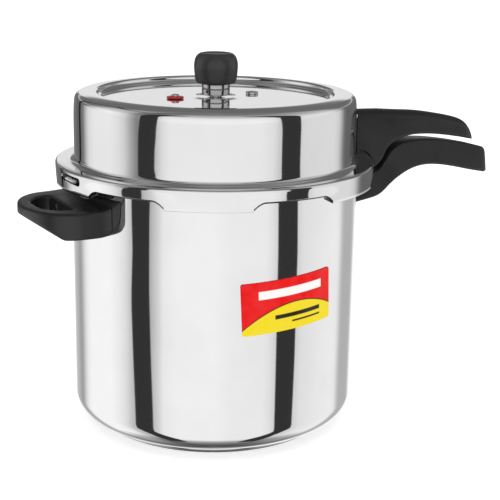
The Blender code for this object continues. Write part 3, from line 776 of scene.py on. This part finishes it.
def notch_rows(start_z, inside_r, fall):
    """Outer and inner points of the skirt between lugs, its edge rolled inwards."""
    end_z = NOTCH_Z - (NOTCH_Z - LIP_Z - 0.1) * fall**2
    roll = 1.2 + 1.0 * fall
    turn_in = 0.65 * roll
    straight = end_z + roll - start_z
    outer = [(SKIRT_R, start_z + straight * k / SKIRT_ROWS) for k in range(1, SKIRT_ROWS)]
    corner = [(SKIRT_R, end_z + roll + 0.3), (SKIRT_R, end_z + roll), (SKIRT_R - turn_in, end_z)]
    outer += soften(corner, 0.6, BEND_ROWS - 2)
    outer += [outer[-1]] * LIP_ROWS
    return outer, [(inside_r, z) for _, z in outer]


def paint_edge_shade(lid, mat):
    """Paint shade on the skirt's lower edge between the lugs and on the ends of the lugs: these faces get a
    near-black steel that stands in for the dark reflection and shade there.
    """
    lid.data.materials.append(mat)
    for face in lid.data.polygons:
        spot = face.center / MM
        radius = math.hypot(spot.x, spot.y)
        away = from_lug(math.degrees(math.atan2(spot.y, spot.x)))
        on_edge = SKIRT_R - SHEET - 0.4 < radius < SKIRT_R - 0.12 and spot.z < NOTCH_Z + 1.2
        if on_edge and face.normal.z < -0.2 and away > LID_LUG_HALF - 0.02:
            face.material_index = 1
        # painted shade at the end of each lug, where the gap beside it is dark
        if spot.z < LIP_END_Z + 1.0 and radius > LIP_R - 1.0 and abs(away - LID_LUG_HALF) < 0.06:
            face.material_index = 1


def make_lid_body(mats):
    fixed = lid_fixed_path()
    inner_fixed = offset_path(fixed, SHEET)
    start_z = FLANGE_TOP_Z - FLANGE_BEND_R
    sections = []
    for degrees in lug_columns():
        away = from_lug(degrees)
        if away < LID_LUG_HALF:
            outer, inner = lug_rows(start_z, SKIRT_R - SHEET)
        else:
            fall = max(LID_LUG_FLARE - away, 0) / (LID_LUG_FLARE - LID_LUG_HALF)
            outer, inner = notch_rows(start_z, SKIRT_R - SHEET, fall)
        pinch = LUG_BULGE * (1 - lug_share(degrees, LID_LUG_HALF, 11.0))
        for rows in (outer, inner):
            rows[:] = [(r - pinch * smooth_step((start_z - z) / (start_z - NOTCH_Z)), z) for r, z in rows]
        outline = fixed + outer + inner[::-1] + inner_fixed[::-1]
        c, s = math.cos(math.radians(degrees)), math.sin(math.radians(degrees))
        sections.append([(r * c, r * s, z) for r, z in outline])
    lid = loft("lid_body", sections, mats["mirror"], closed=True, crease=40)
    middle = (SLOT_LOW_Z + SLOT_HIGH_Z) / 2
    half = (SLOT_HIGH_Z - SLOT_LOW_Z) / 2
    left, right = SLOT_MID_Y - SLOT_HALF_WIDTH, SLOT_MID_Y + SLOT_HALF_WIDTH
    slot = rounded_polygon(
        [(left, middle - half, 2.9), (right, middle - half, 2.9), (right, middle + half, 2.9),
         (left, middle + half, 2.9)], 8)
    carve(lid, prism("release_slot", slot, "X", -SKIRT_R - 6, -SKIRT_R + 8), crease=40)
    for spot, hole in ((INDICATOR_AT, INDICATOR_HOLE_R), (PLUG_AT, PLUG_HOLE_R)):
        carve(lid, prism("disc_hole", circle(hole, 48, spot), "Z", DISC_Z - 5, DISC_Z + 5), crease=40)
    paint_edge_shade(lid, mats["cut"])
    return declare(lid, "lid", "polished_steel", "lid_shell")


def make_gasket_ring(mats):
    """The seal, drawn in behind the release slot except where it bulges out."""
    sections = []
    for i in range(AROUND):
        degrees = 360 * i / AROUND
        c, s = math.cos(math.radians(degrees)), math.sin(math.radians(degrees))
        along = SKIRT_R * math.radians(degrees - 180) * -1 - SLOT_MID_Y
        drawn_in = smooth_step((26 - abs(along)) / 5)
        outer = GASKET_R - GASKET_DIMPLE * drawn_in
        bulge = GASKET_BULGE * smooth_step((along + 5.5) / 3) * smooth_step((19.5 - along) / 4)
        groove = 133.0 - 4.9 * drawn_in
        outline = [
            (outer, 226.0), (outer + bulge * 0.8, 226.6), (outer + bulge, 227.6), (outer + bulge, 228.8),
            (outer + bulge * 0.8, 229.5), (outer, 230.0), (outer, 232.6), (outer - 1.0, 233.9),
            (127.8, 233.9), (127.0, 233.1), (127.0, 231.6), (groove, 229.4),
            (127.0, 227.2), (127.0, 225.7), (127.8, 224.9), (outer - 1.2, 224.9),
        ]
        closed = soften([outline[-1]] + outline + [outline[0]], 0.9, 3)[1:-1]
        sections.append([(r * c, r * s, z) for r, z in closed])
    ring = loft("gasket_ring", sections, mats["seal"], closed=True)
    return declare(ring, "gasket", "seal_rubber", "gasket")


# -------------------------------------------------------------------- handles


def bar_section(x_top, z_top, x_low, z_low, half, crown_y, crown_z, foot, steps=10):
    """A handle's ring of points: crowned top corners and smaller lower corners."""
    top, low = Vector((x_top, z_top)), Vector((x_low, z_low))
    height = (top - low).length
    down = (low - top) / height
    crown_z = min(crown_z, height * 0.55)
    foot_z = min(foot, height * 0.35)
    foot_y = min(foot, half * 0.8)
    ring = []
    for k in range(steps + 1):
        angle = math.pi / 2 * k / steps
        ring.append((half - crown_y + crown_y * math.sin(angle), crown_z - crown_z * math.cos(angle)))
    for k in range(1, 8):
        ring.append((half, crown_z + (height - foot_z - crown_z) * k / 8))
    for k in range(steps + 1):
        angle = math.pi / 2 * k / steps
        ring.append((half - foot_y + foot_y * math.cos(angle), height - foot_z + foot_z * math.sin(angle)))
    ring += [(-y, depth) for y, depth in ring[::-1]]
    points = []
    for y, depth in ring:
        spot = top + down * depth
        points.append((spot.x, y, spot.y))
    return points


def make_bar_handle(name, rows, steps, crown_y, crown_z, foot, mat):
    sections = []
    for x_top, z_top, x_low, z_low, half in smooth_rows(rows, steps):
        sections.append(bar_section(x_top, z_top, x_low, z_low, half, min(crown_y, half), crown_z, foot))
    return loft(name, sections, mat, crease=50)


def make_lid_grip(mats):
    rows = [
        (143.5, 271.2, 143.5, 214.8, 13), (150, 271.2, 150, 214.8, 13), (157, 271.0, 157, 214.9, 13),
        (164.5, 270.7, 164.5, 215.9, 13), (172.5, 270.3, 172.5, 222.5, 13),
        (178.5, 269.8, 178.5, 233, 13), (187, 269.0, 187, 239.2, 13), (197, 268.1, 197, 242.6, 13),
        (209, 267.1, 209, 244.2, 13), (222, 265.6, 222, 244.1, 13), (236, 263.2, 236, 242.9, 13),
        (248, 260.9, 248, 241.2, 13), (258, 258.7, 258, 239.5, 13), (266, 256.6, 266.5, 238.0, 13),
        (271.3, 254.6, 273, 236.6, 12.8), (275.2, 251.9, 277.6, 235.6, 12.1),
        (278.7, 247.4, 280.8, 234.9, 10.7), (281.6, 241.5, 283.2, 234.3, 9.2),
        (283.6, 236.5, 284.6, 233.9, 7.6),
    ]
    grip = make_bar_handle("lid_grip", rows, 5, 13, 8.5, 3.2, mats["black"])
    for start, end in ((-20, -9), (9, 20)):
        recess = prism("recess", circle(20.5, 64, (LID_HANDLE_X, 214.8)), "Y", start, end)
        carve(grip, recess)
    carve(grip, prism("screw_hole", circle(2.7, 24, (0, 260)), "X", 130, 167))
    return declare(grip, "lid", "black_plastic", "lid_handle")


def make_pot_grip(mats):
    rows = [
        (129, 209.5, 129, 182.3, 13), (140, 210.2, 140, 183.3, 13), (152, 211.0, 152, 184.9, 13),
        (164, 212.2, 164, 186.7, 13), (171, 215.0, 171, 188.6, 13), (177, 222.4, 177, 192.2, 13),
        (184, 231.2, 184, 198.0, 13), (193, 236.4, 193, 204.0, 13), (205, 238.8, 205, 209.8, 13),
        (217, 239.2, 217, 212.9, 13), (230, 238.5, 230, 213.6, 13), (245, 236.6, 245, 212.0, 13),
        (262, 233.8, 262, 208.6, 13), (278, 230.5, 278, 204.8, 13), (290, 227.8, 290, 202.2, 13),
        (295.0, 226.2, 295.0, 201.2, 12.9), (297.4, 223.8, 297.6, 200.6, 12.6),
        (299.0, 217.0, 299.4, 200.2, 12.2), (300.4, 210.0, 300.6, 200.2, 11.7),
        (301.6, 204.6, 301.5, 200.8, 11.2),
    ]
    grip = make_bar_handle("pot_grip", rows, 5, 2.2, 2.2, 3.0, mats["black"])
    carve(grip, prism("wall", circle(POT_R + GAP + SHEET + GAP, 180), "Z", 150, 260))
    carve(grip, prism("tongue_pocket", box((126, 193.2), (177, 197.4)), "Y", -8.6, 8.6))
    carve(grip, prism("screw_hole", circle(2.7, 24, (160, 0)), "Z", 189.5, 204))
    carve(grip, prism("screw_recess", circle(5.2, 48, (160, 0)), "Z", 178, 189.8))
    return declare(grip, "pot", "black_plastic", "pot_handle")


def soften_solid(obj, grain, rounds):
    """Remesh a solid finely and smooth it, so that all its edges are rounded."""
    remesh = obj.modifiers.new("remesh", "REMESH")
    remesh.mode = "VOXEL"
    remesh.voxel_size = grain * MM
    smooth = obj.modifiers.new("smooth", "SMOOTH")
    smooth.factor = 0.5
    smooth.iterations = rounds
    apply_modifiers(obj)


def helper_plan():
    """Plan of the helper handle: wings at the wall, straight sides, rounded end."""
    near = [(-100.0, -54.0), (-115.0, -53.4), (-117.6, -51.2), (SEAM_X, -HELPER_HALF_WIDTH - 1.0)]
    near += [(-126.0, -HELPER_HALF_WIDTH), (HELPER_SIDE_END_X, -HELPER_HALF_WIDTH)]
    reach = HELPER_SIDE_END_X - HELPER_END_X
    for k in range(1, 25):
        turn = math.pi / 2 * k / 24
        near.append((HELPER_SIDE_END_X - reach * math.sin(turn), -HELPER_HALF_WIDTH * math.cos(turn)))
    return near + [(x, -y) for x, y in near[:-1][::-1]]


def wing_corner(side):
    """Cutter that rounds the lower corner of a wing."""
    across = Vector((math.cos(WING_LEAN), side * math.sin(WING_LEAN)))
    along = Vector((math.sin(WING_LEAN), -side * math.cos(WING_LEAN)))
    outline = [
        (-16.0, 180.0), (-16.0, HELPER_LOW_Z - 1.0), (-10.0, 187.8), (-7.5, 189.2), (-5.2, 191.4),
        (-2.6, 194.8), (-0.6, 198.2), (0.7, 202.0), (1.4, 207.0), (1.6, 212.0), (20.0, 212.0),
        (20.0, 180.0),
    ]
    sections = []
    for depth in (-150.0, -97.0):
        points = []
        for w, z in outline:
            spot = across * w + along * depth
            points.append((spot.x, spot.y, z))
        sections.append(points)
    return loft("wing_corner", sections)


def make_helper_grip(mats):
    grip = prism("helper_grip", helper_plan(), "Z", HELPER_LOW_Z, 226, mats["black"])
    hole = rounded_polygon(
        [
            (HOLE_INNER_X, -HOLE_HALF_WIDTH, 3), (-156, -HOLE_HALF_WIDTH, 14), (HOLE_OUTER_X, -15, 18),
            (HOLE_OUTER_X, 15, 18), (-156, HOLE_HALF_WIDTH, 14), (HOLE_INNER_X, HOLE_HALF_WIDTH, 3),
        ],
        10,
    )
    carve(grip, prism("finger_hole", hole, "Z", 180, 240))
    above = [
        (100, 240), (100, HELPER_WALL_Z), (127, HELPER_WALL_Z), (129, 214.6), (131, 212.4), (134.5, 211.1),
        (146, HELPER_LOOP_Z), (190, HELPER_LOOP_Z - 0.4), (190, 240),
    ]
    carve(grip, turned("above", above, None, AROUND))
    below = [(-155, 180), (-160, HELPER_LOW_Z), (HELPER_END_X - 1, 203), (HELPER_END_X - 12, 180)]
    carve(grip, prism("below", below, "Y", -70, 70))
    for side in (-1, 1):
        carve(grip, wing_corner(side))
    soften_solid(grip, HELPER_GRAIN, HELPER_ROUNDS)
    carve(grip, prism("wall", circle(POT_R + GAP, AROUND), "Z", 180, 230))
    for side in (-1, 1):
        edge = side * (HELPER_HALF_WIDTH - 0.6)
        groove = box((SEAM_X - 0.3, min(edge, edge + side * 6)), (SEAM_X + 0.3, max(edge, edge + side * 6)))
        carve(grip, prism("seam", groove, "Z", 180, 230))
    seat = sector(POT_R - 1, POT_R + SHEET + 2 * GAP, 180, 17)
    carve(grip, prism("bracket_seat", seat, "Z", 194.6, 212.4))
    for side in (-1, 1):
        screw = (side * HELPER_SCREW_Y, HELPER_SCREW_Z)
        carve(grip, prism("screw_hole", circle(2.1, 24, screw), "X", -150, -120))
        carve(grip, prism("screw_recess", circle(4.2, 48, screw), "X", -150, -141.2))
    return declare(grip, "pot", "black_plastic", "helper_handle")


def make_lid_bracket(mats):
    inner = LID_R + GAP
    seat = arc((0, 0), inner, -5.4, 5.4, 16)
    inside = arc((0, 0), inner + SHEET, -4.8, 4.8, 16)
    end = LID_HANDLE_X - GAP
    bracket = prism("lid_bracket", seat + [(end, 11.8), (end, -11.8)], "Z", 242, 268, mats["mirror"])
    hollow = inside + [(end - SHEET, 10.3), (end - SHEET, -10.3)]
    carve(bracket, prism("inside", hollow, "Z", 240, 270))
    window = rounded_polygon([(133.5, 236, 0), (140, 236, 0), (140, 253, 2.4), (133.5, 253, 2.4)], 8)
    carve(bracket, prism("windows", window, "Y", -20, 20))
    carve(bracket, prism("screw_hole", circle(2.7, 24, (0, 260)), "X", 136, 150))
    round_edges(bracket, 0.35, 2, 40)
    return declare(bracket, "lid", "polished_steel", "lid_handle_bracket")


def screw(name, body, node, head_r, head_low, head_high, shank_r, shank_end, place, mats):
    """A pan-head screw with a cross recess, its head low and its shank up."""
    profile = [(0, head_low), (head_r - 1.4, head_low), (head_r - 0.5, head_low + 0.3)]
    profile += [(head_r, head_low + 1.1), (head_r, head_high), (shank_r, head_high)]
    pitch = 0.9
    z = head_high + 0.6
    while z < shank_end - 1.4:
        profile += [(shank_r, z), (shank_r - 0.35, z + pitch / 2)]
        z += pitch
    profile += [(shank_r - 0.2, shank_end - 0.8), (shank_r - 0.8, shank_end), (0, shank_end)]
    obj = turned(name, profile, mats["satin"], 40)
    for size in ((head_r * 0.62, 0.45), (0.45, head_r * 0.62)):
        slot = prism("cross", box((-size[0], -size[1]), size), "Z", head_low - 1, head_low + 1.1)
        carve(obj, slot)
    obj.matrix_world = place
    return declare(obj, body, "satin_steel", node)


# ------------------------------------------------------------------- fittings


def make_vent_stem(mats):
    profile = [
        (4.6, 281.0), (4.6, DISC_Z + GAP), (5.5, DISC_Z + GAP), (5.7, 291.6), (5.7, 292.3), (5.4, 292.6),
        (3.8, 292.7), (3.4, 293.0), (3.4, 305.3), (2.6, 307.5), (1.7, 307.5), (1.7, 303.5), (1.3, 302.5),
        (1.3, 281.0),
    ]
    stem = turned("vent_stem", profile, mats["satin"], 64)
    return declare(stem, "lid", "satin_steel", "vent_tube")


def make_plug_head(mats):
    profile = [
        (0, 292.9), (1.6, 292.9), (1.9, 293.2), (4.7, 293.2), (5.3, 293.0), (5.5, 292.6),
        (5.5, DISC_Z + GAP), (3.5, DISC_Z + GAP), (3.5, 285.0), (0, 285.0),
    ]
    plug = turned("plug_head", profile, mats["satin"], 64, PLUG_AT)
    return declare(plug, "lid", "satin_steel", "safety_plug")


def make_grommet_and_pin(mats):
    under = DISC_Z - SHEET - GAP
    profile = [
        (2.3, 286.6), (6.2, 286.6), (6.2, under), (4.2, under), (4.2, DISC_Z + GAP), (7.2, DISC_Z + GAP),
        (7.4, DISC_Z + 0.6), (7.4, 292.4), (7.2, 292.7), (6.8, 292.8), (2.3, 292.8),
    ]
    grommet = turned("grommet_ring", profile, mats["red"], 64, INDICATOR_AT)
    declare(grommet, "lid", "red_rubber", "indicator_grommet")
    pin = [
        (0, 294.8), (2.6, 294.8), (3.1, 294.6), (3.3, 294.2), (3.3, 293.2), (1.9, 293.2), (1.9, 281.0),
        (3.4, 281.0), (3.4, 279.6), (0, 279.6),
    ]
    riser = turned("pin_riser", pin, mats["satin"], 48, INDICATOR_AT)
    declare(riser, "indicator_pin", "satin_steel", "indicator_pin")


def make_weight(mats):
    body = [
        (0, STEM_TOP_Z), (STEM_R - 0.4, STEM_TOP_Z), (STEM_R, STEM_TOP_Z - 0.4), (STEM_R, WEIGHT_TOP_Z),
        (WEIGHT_R - 0.5, WEIGHT_TOP_Z), (WEIGHT_R - 0.15, WEIGHT_TOP_Z - 0.15),
        (WEIGHT_R, WEIGHT_TOP_Z - 0.5), (WEIGHT_R, WEIGHT_LOW_Z + 0.5),
        (WEIGHT_R - 0.15, WEIGHT_LOW_Z + 0.15), (WEIGHT_R - 0.5, WEIGHT_LOW_Z), (6.2, WEIGHT_LOW_Z),
        (6.2, 300.0), (4.4, 301.5), (4.4, 309.0), (1.6, 309.0), (1.6, 315.0), (0, 315.0),
    ]
    steel_part = turned("weight_cylinder", body, mats["weight"], AROUND_SMALL)
    declare(steel_part, "weight", "polished_steel", "weight_body")
    side = [
        (0.0, 328.2), (5.5, 328.3), (10.2, 328.6), (12.2, 329.2), (14.4, 328.8), (16.5, 327.2), (18.0, 324.8),
        (18.9, 321.6), (19.2, 317.8), (19.0, 313.6), (18.5, 308.8), (17.9, 305.6), (17.2, 303.9), (16.3, 303.15),
    ]
    outer = smooth_rows(side, 5)
    knob = outer + [
        (15.6, WEIGHT_TOP_Z + GAP), (STEM_R + GAP, WEIGHT_TOP_Z + GAP), (STEM_R + GAP, STEM_TOP_Z + GAP),
        (0, STEM_TOP_Z + GAP),
    ]
    cap = turned("weight_cap", knob, mats["knob"], AROUND_SMALL)
    declare(cap, "weight", "black_plastic", "weight_knob")


def make_rack_plate(mats):
    path = [(0, RACK_TOP_Z), (RACK_R - 1.5, RACK_TOP_Z), (RACK_R, RACK_TOP_Z - 1.5), (RACK_R, RACK_LOW_Z)]
    rack = turned("rack_plate", sheet_profile(soften(path, 1.6, 6), RACK_SHEET), mats["satin"], 240)
    places = [(0.0, 0.0)] + ring_places(6, 38.0) + ring_places(12, 76.0)
    for place in places:
        carve(rack, prism("hole", circle(RACK_HOLE_R, 40, place), "Z", RACK_TOP_Z - 4, RACK_TOP_Z + 4))
    return declare(rack, "rack", "satin_steel", "rack")


# ---------------------------------------------------------------------- studio


def make_camera():
    data = bpy.data.cameras.new("camera")
    data.lens = CAMERA_LENS
    data.sensor_width = 36.0
    data.clip_end = 100.0
    camera = bpy.data.objects.new("camera", data)
    spot = Vector((
        -CAMERA_DISTANCE * math.sin(CAMERA_AZIMUTH),
        -CAMERA_DISTANCE * math.cos(CAMERA_AZIMUTH),
        CAMERA_HEIGHT,
    ))
    turn = Matrix.Rotation(-(CAMERA_AZIMUTH + CAMERA_YAW), 4, "Z")
    turn = turn @ Matrix.Rotation(math.pi / 2 - CAMERA_PITCH, 4, "X")
    turn = turn @ Matrix.Rotation(CAMERA_ROLL, 4, "Z")
    camera.matrix_world = Matrix.Translation(spot) @ turn
    bpy.context.scene.collection.objects.link(camera)
    bpy.context.scene.camera = camera


class Field:
    """A number that varies over the shader's surface or sky, as a node socket."""

    def __init__(self, tree, socket):
        self.tree = tree
        self.socket = socket

    def math(self, operation, other=0.0, swap=False):
        node = add(self.tree, "ShaderNodeMath", operation=operation)
        values = (other, self) if swap else (self, other)
        for i, value in enumerate(values):
            if isinstance(value, Field):
                self.tree.links.new(value.socket, node.inputs[i])
            else:
                node.inputs[i].default_value = value
        return Field(self.tree, node.outputs[0])

    def __add__(self, other):
        return self.math("ADD", other)

    def __sub__(self, other):
        return self.math("SUBTRACT", other)

    def __rsub__(self, other):
        return self.math("SUBTRACT", other, True)

    def __mul__(self, other):
        return self.math("MULTIPLY", other)

    def size(self):
        return self.math("ABSOLUTE")

    def step(self, low, high):
        """0 at low and 1 at high, smoothly; low may be the larger."""
        node = add(self.tree, "ShaderNodeMapRange", interpolation_type="SMOOTHSTEP")
        node.inputs["From Min"].default_value = low
        node.inputs["From Max"].default_value = high
        self.tree.links.new(self.socket, node.inputs["Value"])
        return Field(self.tree, node.outputs["Result"])

    def blend(self, other, share):
        """Between this field and another field or number, by a share from 0 to 1."""
        return self + (other - self) * share

    def curve(self, points):
        """Straight pieces between (value, result) points."""
        low, high = points[0][0], points[-1][0]
        top = max(abs(result) for _, result in points)
        node = add(self.tree, "ShaderNodeFloatCurve")
        line = node.mapping.curves[0]
        while len(line.points) < len(points):
            line.points.new(0.5, 0.5)
        for spot, (value, result) in zip(line.points, points):
            spot.location = ((value - low) / (high - low), result / top)
            spot.handle_type = "VECTOR"
        node.mapping.update()
        self.tree.links.new((self - low).math("DIVIDE", high - low).socket, node.inputs["Value"])
        return Field(self.tree, node.outputs[0]) * top


def rounded_box_distance(across, up, middle, half, radius):
    """How far a place lies outside a rounded box, negative inside it."""
    out_x = (across - middle[0]).size() - (half[0] - radius)
    out_y = (up - middle[1]).size() - (half[1] - radius)
    over_x, over_y = out_x.math("MAXIMUM"), out_y.math("MAXIMUM")
    corner = (over_x * over_x + over_y * over_y).math("SQRT")
    return corner + out_x.math("MAXIMUM", out_y).math("MINIMUM") - radius


LOW_WALLS = [
    (-180, 0.98), (-170, 0.86), (-163, 0.72), (-157, 0.53), (-150, 0.48), (-144, 0.40), (-140, 0.34),
    (-136, 0.42), (-131, 0.66), (-125, 0.88), (-118, 0.96), (-92, 0.97), (-82, 0.88), (-75, 0.76),
    (-69, 0.55), (-52, 0.45), (-49, 0.56), (-45, 0.68), (-41, 0.85), (-30, 0.91), (0, 0.92), (15, 0.87),
    (41, 0.86), (47, 0.78), (52, 0.66), (70, 0.68), (75, 0.77), (95, 0.84), (112, 0.88), (119, 0.85),
    (123, 0.68), (127, 0.50), (131, 0.45), (146, 0.45), (152, 0.52), (157, 0.82), (163, 1.0), (180, 1.0),
]
HIGH_WALLS = [
    (-180, 0.95), (-173, 0.60), (-168, 0.20), (-155, 0.17), (-147, 0.13), (-140, 0.10), (-137, 0.13),
    (-131, 0.22), (-126, 0.52), (-121, 0.74), (-112, 0.84), (-92, 0.85), (-82, 0.76), (-76, 0.64),
    (-70, 0.40), (-64, 0.22), (-52, 0.35), (-48, 0.52), (-42, 0.74), (-36, 0.84), (0, 0.87), (36, 0.85),
    (47, 0.77), (52, 0.62), (70, 0.66), (76, 0.71), (110, 0.73), (117, 0.62), (122, 0.36), (126, 0.17),
    (131, 0.125), (165, 0.13), (172, 0.5), (180, 0.95),
]
# Inner and outer edges of the dark flags, in degrees, against the height in degrees
LEFT_INNER = [
    (-90, 30), (-58, 32), (-50, 34.5), (-40, 41), (-30, 46.6), (-24, 49.3), (-22, 50.3), (-20, 51.6),
    (-17, 52.8), (-13.2, 52.3), (-12.4, 48.6), (-11, 48.8), (-9, 47.6), (0, 46.4), (12, 45), (20, 43),
    (28, 38), (34, 32), (40, 25), (50, 20), (90, 20),
]
LEFT_OUTER = [
    (-90, 58), (-42, 58), (-30, 62.6), (-24, 65.6), (-22, 66.8), (-20, 68.2), (-17.3, 69.7), (-15.5, 68.4),
    (-13.2, 66.8), (-12.4, 63.6), (-10, 63.2), (-4, 62), (12, 60), (28, 58), (38, 54), (42, 48), (45, 38),
    (47, 26), (50, 20), (90, 20),
]
RIGHT_INNER = [
    (-90, 30), (-58, 32), (-50, 35), (-40, 43), (-30, 49), (-24, 51.3), (-20, 51.6), (-13.2, 51.6),
    (-12.4, 53.9), (-4, 53.5), (8, 52), (18, 48), (28, 42), (34, 35), (40, 26), (50, 20), (90, 20),
]
RIGHT_OUTER = [
    (-90, 58), (-42, 59), (-30, 64), (-24, 67.4), (-20, 69.3), (-13.2, 69.7), (-12.4, 71.2), (8, 70.6),
    (20, 68), (30, 62), (37, 55), (42, 45), (46, 30), (50, 20), (90, 20),
]
FLAG = 0.033  # how bright the dark flags are
LINE_W = 2.0  # half width of the thin dark line on the left, in degrees


def studio_light(phi, rise):
    """What polished metal mirrors: pale walls, two dark upright flags and a dim ceiling.

    phi is the direction's turn from the camera's side and rise its height, in degrees.
    """
    side = phi.size()
    high = phi.curve(HIGH_WALLS)
    walls = phi.curve(LOW_WALLS).blend(high, rise.step(-13.3, -12.4))
    front = high * rise.curve([
        (-90, 1.0), (-2, 1.0), (3, 1.08), (18, 0.80), (33, 0.63), (48, 0.47), (64, 0.30), (81, 0.22),
        (90, 0.20),
    ])
    back_low = side.curve([
        (0, 0.6), (100, 0.5), (126, 0.14), (150, 0.14), (166, 0.17), (170, 0.78), (180, 0.78),
    ])
    back_high = rise.curve([
        (-90, 0.78), (11, 0.78), (12.5, 0.45), (14, 0.20), (19, 0.14), (57, 0.147), (81, 0.188), (90, 0.2),
    ])
    sky = front.blend(back_low.blend(back_high, rise.step(9.0, 13.0)), side.step(98, 130))
    light = walls.blend(sky, rise.step(-1.5, 1.5))
    light = light * rise.curve([
        (-90, 0.10), (-80, 0.13), (-72, 0.20), (-64, 0.35), (-58, 0.46), (-52, 0.80), (-48, 1.0),
        (0, 1.0), (90, 1.0),
    ])
    for inner, outer, way in ((LEFT_INNER, LEFT_OUTER, -1), (RIGHT_INNER, RIGHT_OUTER, 1)):
        inside = (side - rise.curve(inner)).step(-0.5, 0.5) * (rise.curve(outer) - side).step(-0.5, 0.5)
        inside = inside * (phi * way).step(-0.5, 0.5) * side.step(18, 30)
        light = light.blend(FLAG, inside * rise.step(-67, -62) * rise.step(48, 45))
    border = rounded_box_distance(phi, rise, (-60, -10), (79.5, 57), 12).size()
    frame_line = border.step(LINE_W + 0.4, LINE_W - 0.4)
    light = light.blend(0.014, frame_line * rise.step(-12.9, -12.4) * phi.step(-66, -72) * rise.curve(
        [(-90, 1.0), (34, 1.0), (46, 0.85), (90, 0.7)]))
    return light


def make_studio():
    """A pale, even studio; only mirror reflections see its walls and flags."""
    world = bpy.data.worlds.new("studio")
    bpy.context.scene.world = world
    world.use_nodes = True
    world.cycles.sampling_method = "NONE"
    tree = world.node_tree
    tree.nodes.clear()
    coords = add(tree, "ShaderNodeTexCoord")
    sin_a, cos_a = math.sin(CAMERA_AZIMUTH), math.cos(CAMERA_AZIMUTH)
    parts = []
    for axis in ((-sin_a, -cos_a, 0.0), (cos_a, -sin_a, 0.0), (0.0, 0.0, 1.0)):
        dot = add(tree, "ShaderNodeVectorMath", operation="DOT_PRODUCT")
        dot.inputs[1].default_value = axis
        tree.links.new(coords.outputs["Generated"], dot.inputs[0])
        parts.append(Field(tree, dot.outputs["Value"]))
    towards, across, up = parts
    phi = across.math("ARCTAN2", towards) * (180 / math.pi)
    rise = up.math("ARCSINE") * (180 / math.pi)
    gloss = studio_light(phi, rise)
    light = add(tree, "ShaderNodeLightPath")
    shown = mix_colours(tree, light.outputs["Is Glossy Ray"], (0.93, 0.93, 0.93), gloss.socket)
    shown = mix_colours(tree, light.outputs["Is Camera Ray"], shown, (1.0, 1.0, 1.0))
    background = add(tree, "ShaderNodeBackground")
    tree.links.new(shown, background.inputs["Color"])
    output = add(tree, "ShaderNodeOutputWorld")
    tree.links.new(background.outputs[0], output.inputs[0])


def make_floor():
    """A plain pale disc under the object, which the metal doesn't mirror."""
    mat, tree, shader = new_material("pale_floor")
    cloud = noise(tree, place_node(tree), 3.0, 2.0)
    colour = mix_colours(tree, cloud, (0.96, 0.96, 0.96), (0.98, 0.98, 0.98))
    tree.links.new(colour, shader.inputs["Base Color"])
    shader.inputs["Roughness"].default_value = 0.9
    shader.inputs["Specular IOR Level"].default_value = 0.0
    shader.inputs["Emission Color"].default_value = (1.0, 1.0, 1.0, 1.0)
    shader.inputs["Emission Strength"].default_value = 0.42
    floor = turned("floor", [(0, -1.0), (6000, -1.0), (6000, -3.0), (0, -3.0)], mat, 96)
    floor.visible_glossy = False
    floor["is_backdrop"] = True


# ----------------------------------------------------------------------- build


def dress_hidden_nodes(frame, mats):
    """CAD nodes that stay in view get a finish of their own."""
    finishes = {
        "base_core": "aluminium",
        "pot_handle_bracket": "satin",
        "helper_bracket": "satin",
        "vent_nut": "satin",
        "safety_plug_nut": "satin",
        "weight_needle": "satin",
        "weight_clip": "satin",
    }
    for node, finish in finishes.items():
        data = frame["nodes"][node].data
        data.materials.clear()
        data.materials.append(mats[finish])


def make_screws(mats):
    lid_low = LID_HANDLE_X - GAP - SHEET - GAP
    along_x = Matrix.Rotation(math.radians(90), 4, "Y")
    place = Matrix.Translation((0, 0, 260 * MM)) @ along_x
    screw("lid_screw", "lid", "lid_handle_screw", 4.4, lid_low - 2.8, lid_low, 2.2, 166.0, place, mats)
    pair = (("helper_screw_a", "helper_screw_left", 1), ("helper_screw_b", "helper_screw_right", -1))
    for name, node, side in pair:
        place = Matrix.Translation((0, side * HELPER_SCREW_Y * MM, HELPER_SCREW_Z * MM)) @ along_x
        screw(name, "pot", node, 3.6, -144.4, -141.7, 1.7, -125.8, place, mats)
    place = Matrix.Translation((160 * MM, 0, 0))
    screw("pot_screw", "pot", "pot_handle_screw", 4.6, 186.5, 189.3, 2.2, 203.0, place, mats)


def main():
    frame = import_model()
    cad_low, cad_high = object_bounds()
    mats = make_materials()
    make_camera()
    make_studio()
    make_floor()
    bpy.context.scene.view_settings.view_transform = "Standard"
    make_pot_body(mats)
    make_base_dish(mats)
    make_label_sheet(mats)
    make_lid_body(mats)
    make_gasket_ring(mats)
    make_lid_grip(mats)
    make_pot_grip(mats)
    make_helper_grip(mats)
    make_lid_bracket(mats)
    make_screws(mats)
    make_vent_stem(mats)
    make_plug_head(mats)
    make_grommet_and_pin(mats)
    make_weight(mats)
    make_rack_plate(mats)
    dress_hidden_nodes(frame, mats)
    return cad_low, cad_high


cad_low, cad_high = main()
